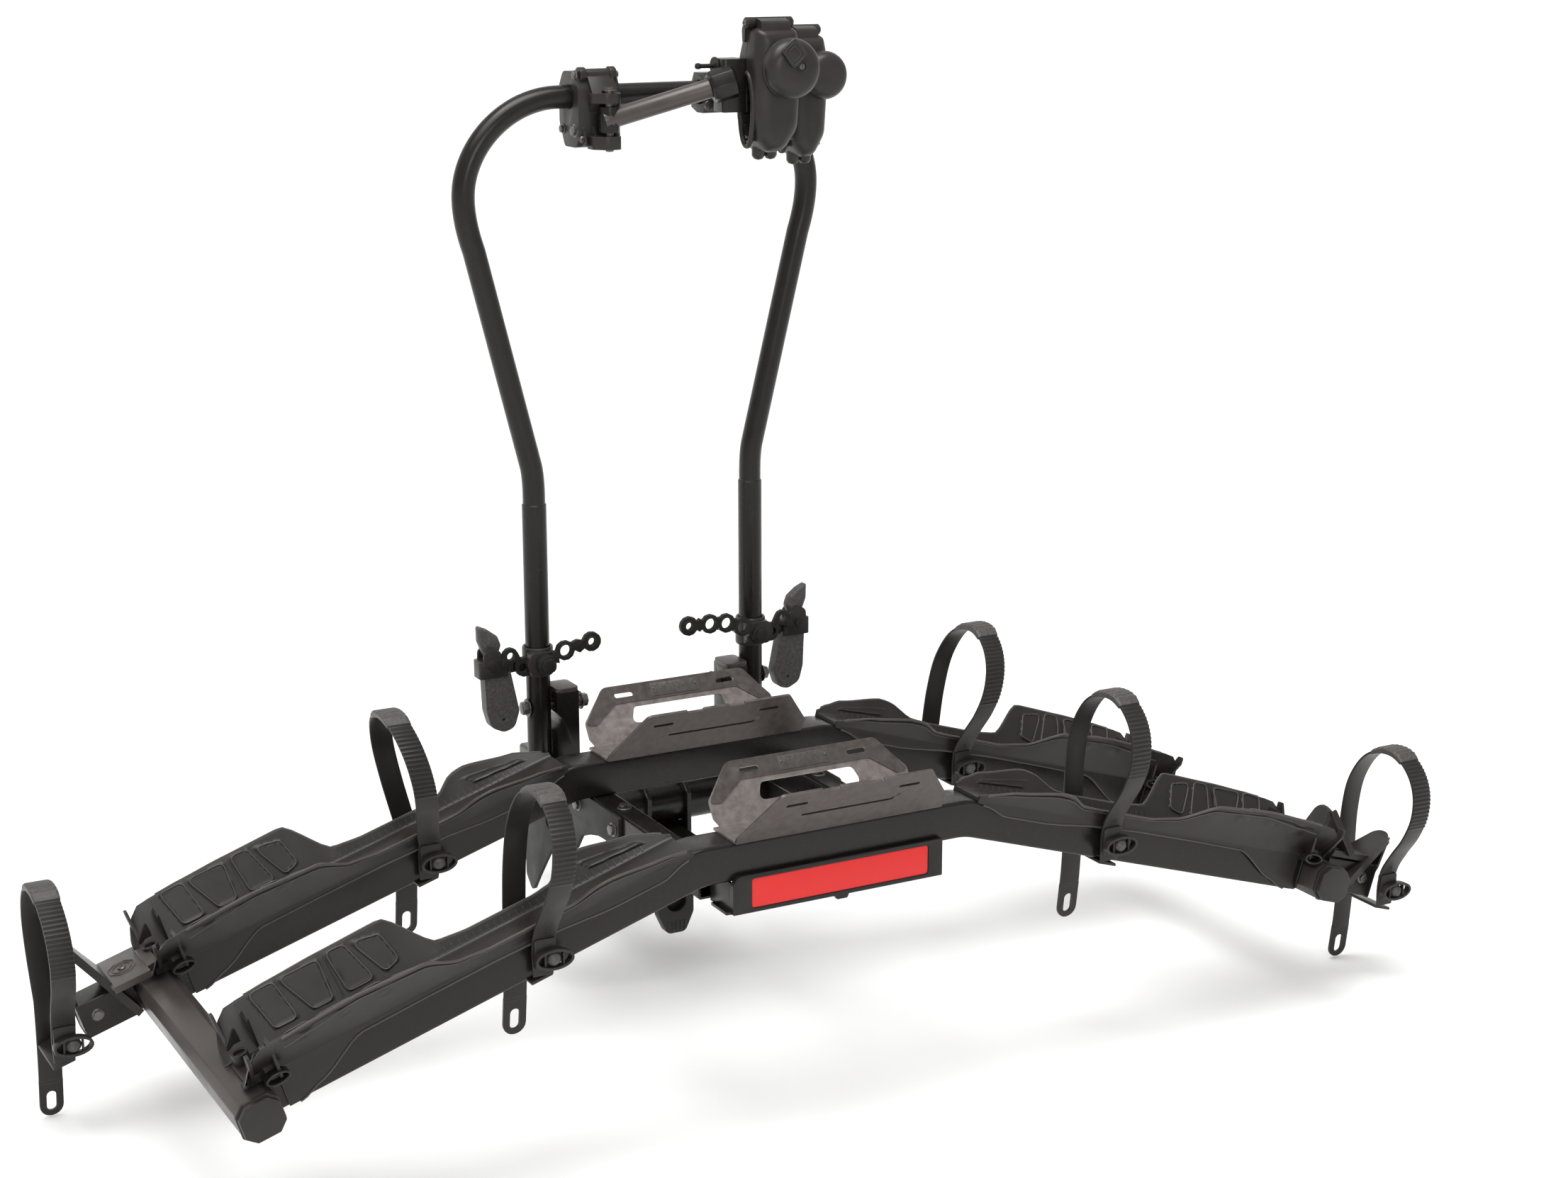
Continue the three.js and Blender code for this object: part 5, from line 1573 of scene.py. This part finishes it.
# ---- the frame under the beams ----
GUSSET_CORNERS = [
    (-100, -48, 6), (-100, -86, 10), (-40, -90, 20), (8, -102, 20), (30, -130, 24), (60, -140, 20),
    (104, -150, 24), (150, -205, 30), (172, -234, 8), (192, -215, 10), (192, -120, 30), (165, -48, 10),
]


def square_tube(x, z, y, wall, radii):
    """A hollow square tube along Y with rounded outer and inner edges."""
    hollow = rectangle(grown(x, -wall), grown(z, -wall), radii[1])
    return prism("y", rectangle(x, z, radii[0]), y[0], y[1], [hollow])


def add_frame():
    low, high = mm_box("side_rail_right")
    rail = square_tube((low.x, high.x), (low.z, high.z), (low.y, high.y), 3, (4, 2.5))
    finish_pair("side_rail_tube", rail, "platform", "black_paint", "side_rail", bevel=0.5)
    bolts = [bolt(((low.x + high.x) / 2, y, high.z), UP, 7.0, 5.0) for y in (-75, -275)]
    finish_pair("side_rail_bolts", joined(bolts), "platform", "zinc", bevel=0.4)
    low, high = mm_box("gusset_right")
    holes = [circle((112, -118), 12, 28), stadium((60, -92), 46, 14)]
    plate = prism("x", rounded(GUSSET_CORNERS, 10, 5), low.x, high.x, holes)
    finish_pair("gusset_plate", plate, "platform", "rubber", "gusset", bevel=0.7)
    bolts = [bolt((high.x, y, z), ACROSS, 7, 5) for y, z in ((-84, -68), (20, -66), (140, -70))]
    finish_pair("gusset_bolts", joined(bolts), "platform", "zinc", bevel=0.4)
    for name, _ in SIDES:
        plate = f"clevis_plate_{name}"
        finish(f"clevis_{name}", refined(plate), "hitch", "black_paint", [plate], bevel=0.8)
    clevis_x = mm_box("clevis_plate_right")[1].x
    bolts = [bolt((clevis_x, y, -172), ACROSS, 6.5, 5) for y in (100, 205)]
    finish_pair("clevis_bolts", joined(bolts), "hitch", "zinc", bevel=0.4)
    low, high = mm_box("pivot_tube")
    middle = (low + high) / 2
    radius = (high.z - low.z) / 2
    sleeve = ring_of(rectangle((radius - 4, radius), (low.x, high.x), 0.8, 2), 48)
    sleeve = sleeve.moved(at((0, middle.y, middle.z), ACROSS))
    finish("pivot_sleeve", sleeve, "platform", "black_paint", ["pivot_tube"], smooth=45)


PEDAL_EYE_Z = -118


def add_pedal():
    low, high = mm_box("release_pedal")
    middle = (low.x + high.x) / 2
    outline = rounded([
        (low.x, high.z, 2), (low.x, low.z + 24, 14), (middle - 12, low.z, 9), (middle + 12, low.z, 9),
        (high.x, low.z + 24, 14), (high.x, high.z, 2),
    ], 6, 6)
    loop = prism("y", outline, low.y, high.y, [circle((middle, PEDAL_EYE_Z), 13, 28)])
    ribs = []
    for k in range(5):
        x = middle + 5.5 * (k - 2)
        ribs.append(box((x - 0.9, x + 0.9), (low.y - 1.2, low.y + 1), (low.z + 3, low.z + 15)))
    ribs.append(prism("y", circle((middle, PEDAL_EYE_Z), 13.5, 28), high.y - 4, high.y - 0.6))
    finish("pedal_loop", joined([loop, *ribs]), "pedal", "rubber", ["release_pedal"], bevel=1.8)


def add_hitch():
    low, high = mm_box("hitch_bar")
    pin_high = mm_box("hitch_pin")[1]
    pin_y = pin_high.y - 8
    pin_z = (low.z + high.z) / 2
    bar = square_tube((low.x, high.x), (low.z, high.z), (low.y, high.y), 5, (5, 3))
    bar = carved(bar, [rod((-60, pin_y, pin_z), (60, pin_y, pin_z), 8.4, 28)])
    finish("hitch_bar_tube", bar, "hitch", "black_paint", ["hitch_bar"], bevel=0.6)
    shaft = rod((-60, pin_y, pin_z), (pin_high.x, pin_y, pin_z), 7.9, 28, 2.0)
    knee = turned([(0.5, -7.7), (5.6, -5.4), (7.7, 0), (5.6, 5.4), (0.5, 7.7)], 24).shifted(-58, pin_y, pin_z)
    handle = rod((-58, pin_y, pin_z), (-58, pin_y - 62, pin_z - 8), 7.5, 28, 2.0)
    finish("hitch_pin_body", joined([shaft, knee, handle]), "hitch", "zinc", ["hitch_pin"], smooth=45)
    clip = ring_of(rounded(circle((10.6, 42), 2.1, 12), 0.2, 1), 32).moved(at((0, pin_y, pin_z), ACROSS))
    clip_tail = rod((42, pin_y, pin_z - 10), (42, pin_y, pin_z - 41), 2.0, 12)
    finish("hitch_clip_wire", clip + clip_tail, "hitch", "zinc", ["hitch_clip"], smooth=50)
    lock_low, lock_high = mm_box("tilt_lock_pin")
    lock_y, lock_z = (lock_low.y + lock_high.y) / 2, (lock_low.z + lock_high.z) / 2
    shaft = rod((lock_low.x + 11, lock_y, lock_z), (lock_high.x, lock_y, lock_z), 8, 28, 1.5)
    head = prism(
        "x", rounded([(lock_y + a, lock_z + b) for a, b in hexagon(12)], 1.2, 2), lock_low.x,
        lock_low.x + 12,
    )
    finish("tilt_lock_bolt", shaft + head, "tilt_lock", "zinc", ["tilt_lock_pin"], bevel=0.5)


# ---- pull-out wheel extensions ----
PULL_OUTS = {
    "left": {
        "end": 652, "arms": [((586, -30, 38), (637, 82, 13))],
        "shelves": [((547, 13, 24), (562, 13, 28)), ((561, 13, 40), (609, 13, 40))],
        "brace": [(636, 78), (648, 29), (650, -38)],
    },
    "right": {
        "end": 668, "arms": [
            ((612, -20, 36), (684, 46, 13)), ((549, 14, 20), (568, 66, 12)), ((608, 12, 30), (567, 66, 12)),
        ],
        "shelves": [((584, 13, 22), (651, 13, 22))],
        "brace": [(682, 42), (677, 0), (662, -38)],
    },
}
PLATE = 3.2


def flared_plate(start, end, tip, edge=0.0):
    """A sheet arm from (run, height, half width) to another, rounded at its end, with turned-down edges."""
    foot, top = Vector(start[:2]), Vector(end[:2])
    along = (top - foot).normalized()
    normal = Vector((-along.y, along.x))
    length = (top - foot).length
    places = [0.0, 0.5] + [1 - tip / length * (1 - math.sin(math.pi / 2 * k / 8)) for k in range(9)]
    rings, flanges = [], ([], [])
    for place in places:
        half = start[2] + (end[2] - start[2]) * place
        past = max(0.0, place * length - (length - tip))
        half = max(half - (tip - math.sqrt(max(tip * tip - past * past, 0.0))), 1.5)
        here = foot + along * length * place
        low, high = here - normal * PLATE / 2, here + normal * PLATE / 2
        rings.append(
            [(low.x, -half, low.y), (low.x, half, low.y), (high.x, half, high.y), (high.x, -half, high.y)]
        )
        drop = low - normal * edge
        for k, face in enumerate((-1, 1)):
            out, inner = sorted((face * half, face * (half - 2.4)), key=abs, reverse=True)
            corners = [
                (drop.x, inner, drop.y), (drop.x, out, drop.y), (low.x, out, low.y), (low.x, inner, low.y),
            ]
            flanges[k].append(corners if face > 0 else corners[::-1])
    parts = [loft(rings)]
    if edge:
        parts += [loft(flange[:-6]) for flange in flanges]
    return joined(parts)


def folded(line, thick, y0, y1):
    """A sheet folded along a line of (run, height) points."""
    path = [Vector((u, 0, v)) for u, v in line]
    return sweep(path, [(y0, -thick / 2), (y1, -thick / 2), (y1, thick / 2), (y0, thick / 2)], FORWARD)


def extension_channel(end):
    """The tongue that slides in the cross tube and the open channel outside it."""
    tongue = prism("x", rectangle((-15, 15), (-31, -15), 2), 455, 590)
    rim = rounded([(-20, -40), (20, -40), (20, 4), (-20, 4)], 3, 3)
    hollow = rounded([(-17, -36), (17, -36), (17, 1), (-17, 1)], 2, 3)
    channel = prism("x", rim, 590, end, [hollow])
    bulkhead = prism("x", rim, 583.8, 590)
    lip = prism("x", rectangle((-21, 21), (-41, 5), 3), end - 3, end, [rectangle((-17, 17), (-36, 1), 2)])
    return joined([tongue, channel, bulkhead, lip])


def add_extensions():
    for name, side, y in EXTENSION_SIDES:
        body = f"pull_out_{name}"
        shape = PULL_OUTS[name]
        channel = on_wing(extension_channel(shape["end"]), y)
        finish(
            f"extension_channel_{name}", channel, body, "black_paint", [f"extension_{name}"], bevel=0.6,
            side=side,
        )
        arms = [flared_plate(foot, top, top[2] - 2, 6.0) for foot, top in shape["arms"]]
        arms.append(folded(shape["brace"], PLATE, -13, 13))
        finish(
            f"extension_arms_{name}", on_wing(joined(arms), y), body, "clamp_plastic", bevel=0.7, side=side,
        )
        shelves = [flared_plate(near, far, 4.0, 5.0) for near, far in shape["shelves"]]
        near, far = shape["shelves"][-1]
        middle, top = (near[0] + far[0]) / 2, near[1] + PLATE / 2
        turns = [math.radians(22.5 + 45 * k) for k in range(8)]
        for radius in (17, 12):
            path = [Vector((middle + radius * math.cos(t), radius * math.sin(t), top)) for t in turns]
            shelves.append(sweep(path, circle((0, 0), 0.8, 8), UP, closed=True))
        # Painted highlight: the left shelf takes the lighter arm paint as a lit copy for its top, while the
        # same shelf on the right keeps the clamp plastic.
        look = "arm_paint" if name == "left" else "clamp_plastic"
        finish(f"extension_shelf_{name}", on_wing(joined(shelves), y), body, look, bevel=0.5, side=side)
        bolts = [bolt((shape["end"] - 20, -20, -16), FACING, 5.6, 4), button((middle, 0, top), UP, 5, 2)]
        finish(f"extension_bolts_{name}", on_wing(joined(bolts), y), body, "zinc", bevel=0.3, side=side)
        bezel = prism(
            "x", rectangle((-20, 20), (-36, -10), 3), 583.1, 583.7,
            [rectangle((-15.6, 15.6), (-31.6, -14.4), 1.5)],
        )
        finish(f"extension_bezel_{name}", on_wing(bezel, y), "platform", "clamp_plastic", side=side)


# ---- floor, light and camera ----
CAMERA_AT = Vector((-1445.7, -2883.7, 1027.8))
CAMERA_TURN = math.radians(28.62)
CAMERA_DIP = math.radians(14.43)
CAMERA_LENS = 60.88


def plain_material(name, color, roughness):
    material, tree, shader, place = blank_material(name)
    cloud = node(tree, "ShaderNodeTexNoise", Vector=place, Scale=0.6, Detail=1.0)
    tree.links.new(
        spread(tree, cloud.outputs["Fac"], roughness - 0.02, roughness + 0.02), shader.inputs["Roughness"],
    )
    shader.inputs["Base Color"].default_value = (*color, 1)
    return material


def add_floor():
    """A pale floor that curves up far behind the object."""
    floor_z = (cad_box[0][2] - ORIGIN.z) / MM - 2
    profile = [Vector((0, -30000, 0)), Vector((0, 9000, 0))]
    for k in range(1, 17):
        turn = math.pi / 2 * k / 16
        profile.append(Vector((0, 9000 + 6000 * math.sin(turn), 6000 * (1 - math.cos(turn)))))
    profile.append(Vector((0, 15000, 16000)))
    reach = 26000
    rows = [[Vector((x, p.y, p.z + floor_z)) for x in (-reach, reach)] for p in profile]
    points = [p * MM + ORIGIN for row in rows for p in row]
    faces = [[2 * i, 2 * i + 1, 2 * i + 3, 2 * i + 2] for i in range(len(rows) - 1)]
    mesh = bpy.data.meshes.new("floor")
    mesh.from_pydata(points, [], faces)
    mesh.polygons.foreach_set("use_smooth", [True] * len(mesh.polygons))
    floor = bpy.data.objects.new("floor", mesh)
    bpy.context.scene.collection.objects.link(floor)
    mesh.materials.append(plain_material("floor_paint", (0.94, 0.94, 0.935), 0.85))


def add_light(name, place, target, size, power):
    data = bpy.data.lights.new(name, "AREA")
    data.shape = "RECTANGLE"
    data.size, data.size_y = size
    data.energy = power
    lamp = bpy.data.objects.new(name, data)
    bpy.context.scene.collection.objects.link(lamp)
    lamp.location = Vector(place) * MM + ORIGIN
    direction = Vector(target) - Vector(place)
    lamp.rotation_euler = direction.to_track_quat("-Z", "Y").to_euler()


def add_studio():
    world = bpy.data.worlds.new("studio")
    bpy.context.scene.world = world
    world.use_nodes = True
    backdrop = world.node_tree.nodes["Background"]
    backdrop.inputs["Color"].default_value = (1.0, 0.995, 0.985, 1)
    backdrop.inputs["Strength"].default_value = 0.62
    sun = bpy.data.lights.new("wide_sun", "SUN")
    sun.energy = 1.9
    sun.angle = math.radians(50)
    lamp = bpy.data.objects.new("wide_sun", sun)
    bpy.context.scene.collection.objects.link(lamp)
    lamp.rotation_euler = Vector((0.35, 0.25, -1.0)).to_track_quat("-Z", "Y").to_euler()
    add_light("top_light", (-200, -300, 3000), (0, 0, 0), (2.0, 1.2), 40)
    add_light("front_light", (-900, -3600, 1700), (100, 0, 200), (1.2, 1.2), 22)


def add_camera():
    data = bpy.data.cameras.new("camera")
    data.lens = CAMERA_LENS
    data.sensor_width = 36
    data.clip_end = 200
    camera = bpy.data.objects.new("camera", data)
    bpy.context.scene.collection.objects.link(camera)
    camera.location = CAMERA_AT * MM + ORIGIN
    look = Vector((
        math.sin(CAMERA_TURN) * math.cos(CAMERA_DIP), math.cos(CAMERA_TURN) * math.cos(CAMERA_DIP),
        -math.sin(CAMERA_DIP),
    ))
    camera.rotation_euler = look.to_track_quat("-Z", "Y").to_euler()
    bpy.context.scene.camera = camera
    bpy.context.scene.view_settings.view_transform = "Standard"


add_beams()
add_end_tubes()
add_trays()
add_cradles()
add_straps()
add_hoop()
add_posts()
add_leg_fittings()
add_heads()
add_arm()
add_reflector()
add_frame()
add_pedal()
add_hitch()
add_extensions()
add_floor()
add_studio()
add_camera()
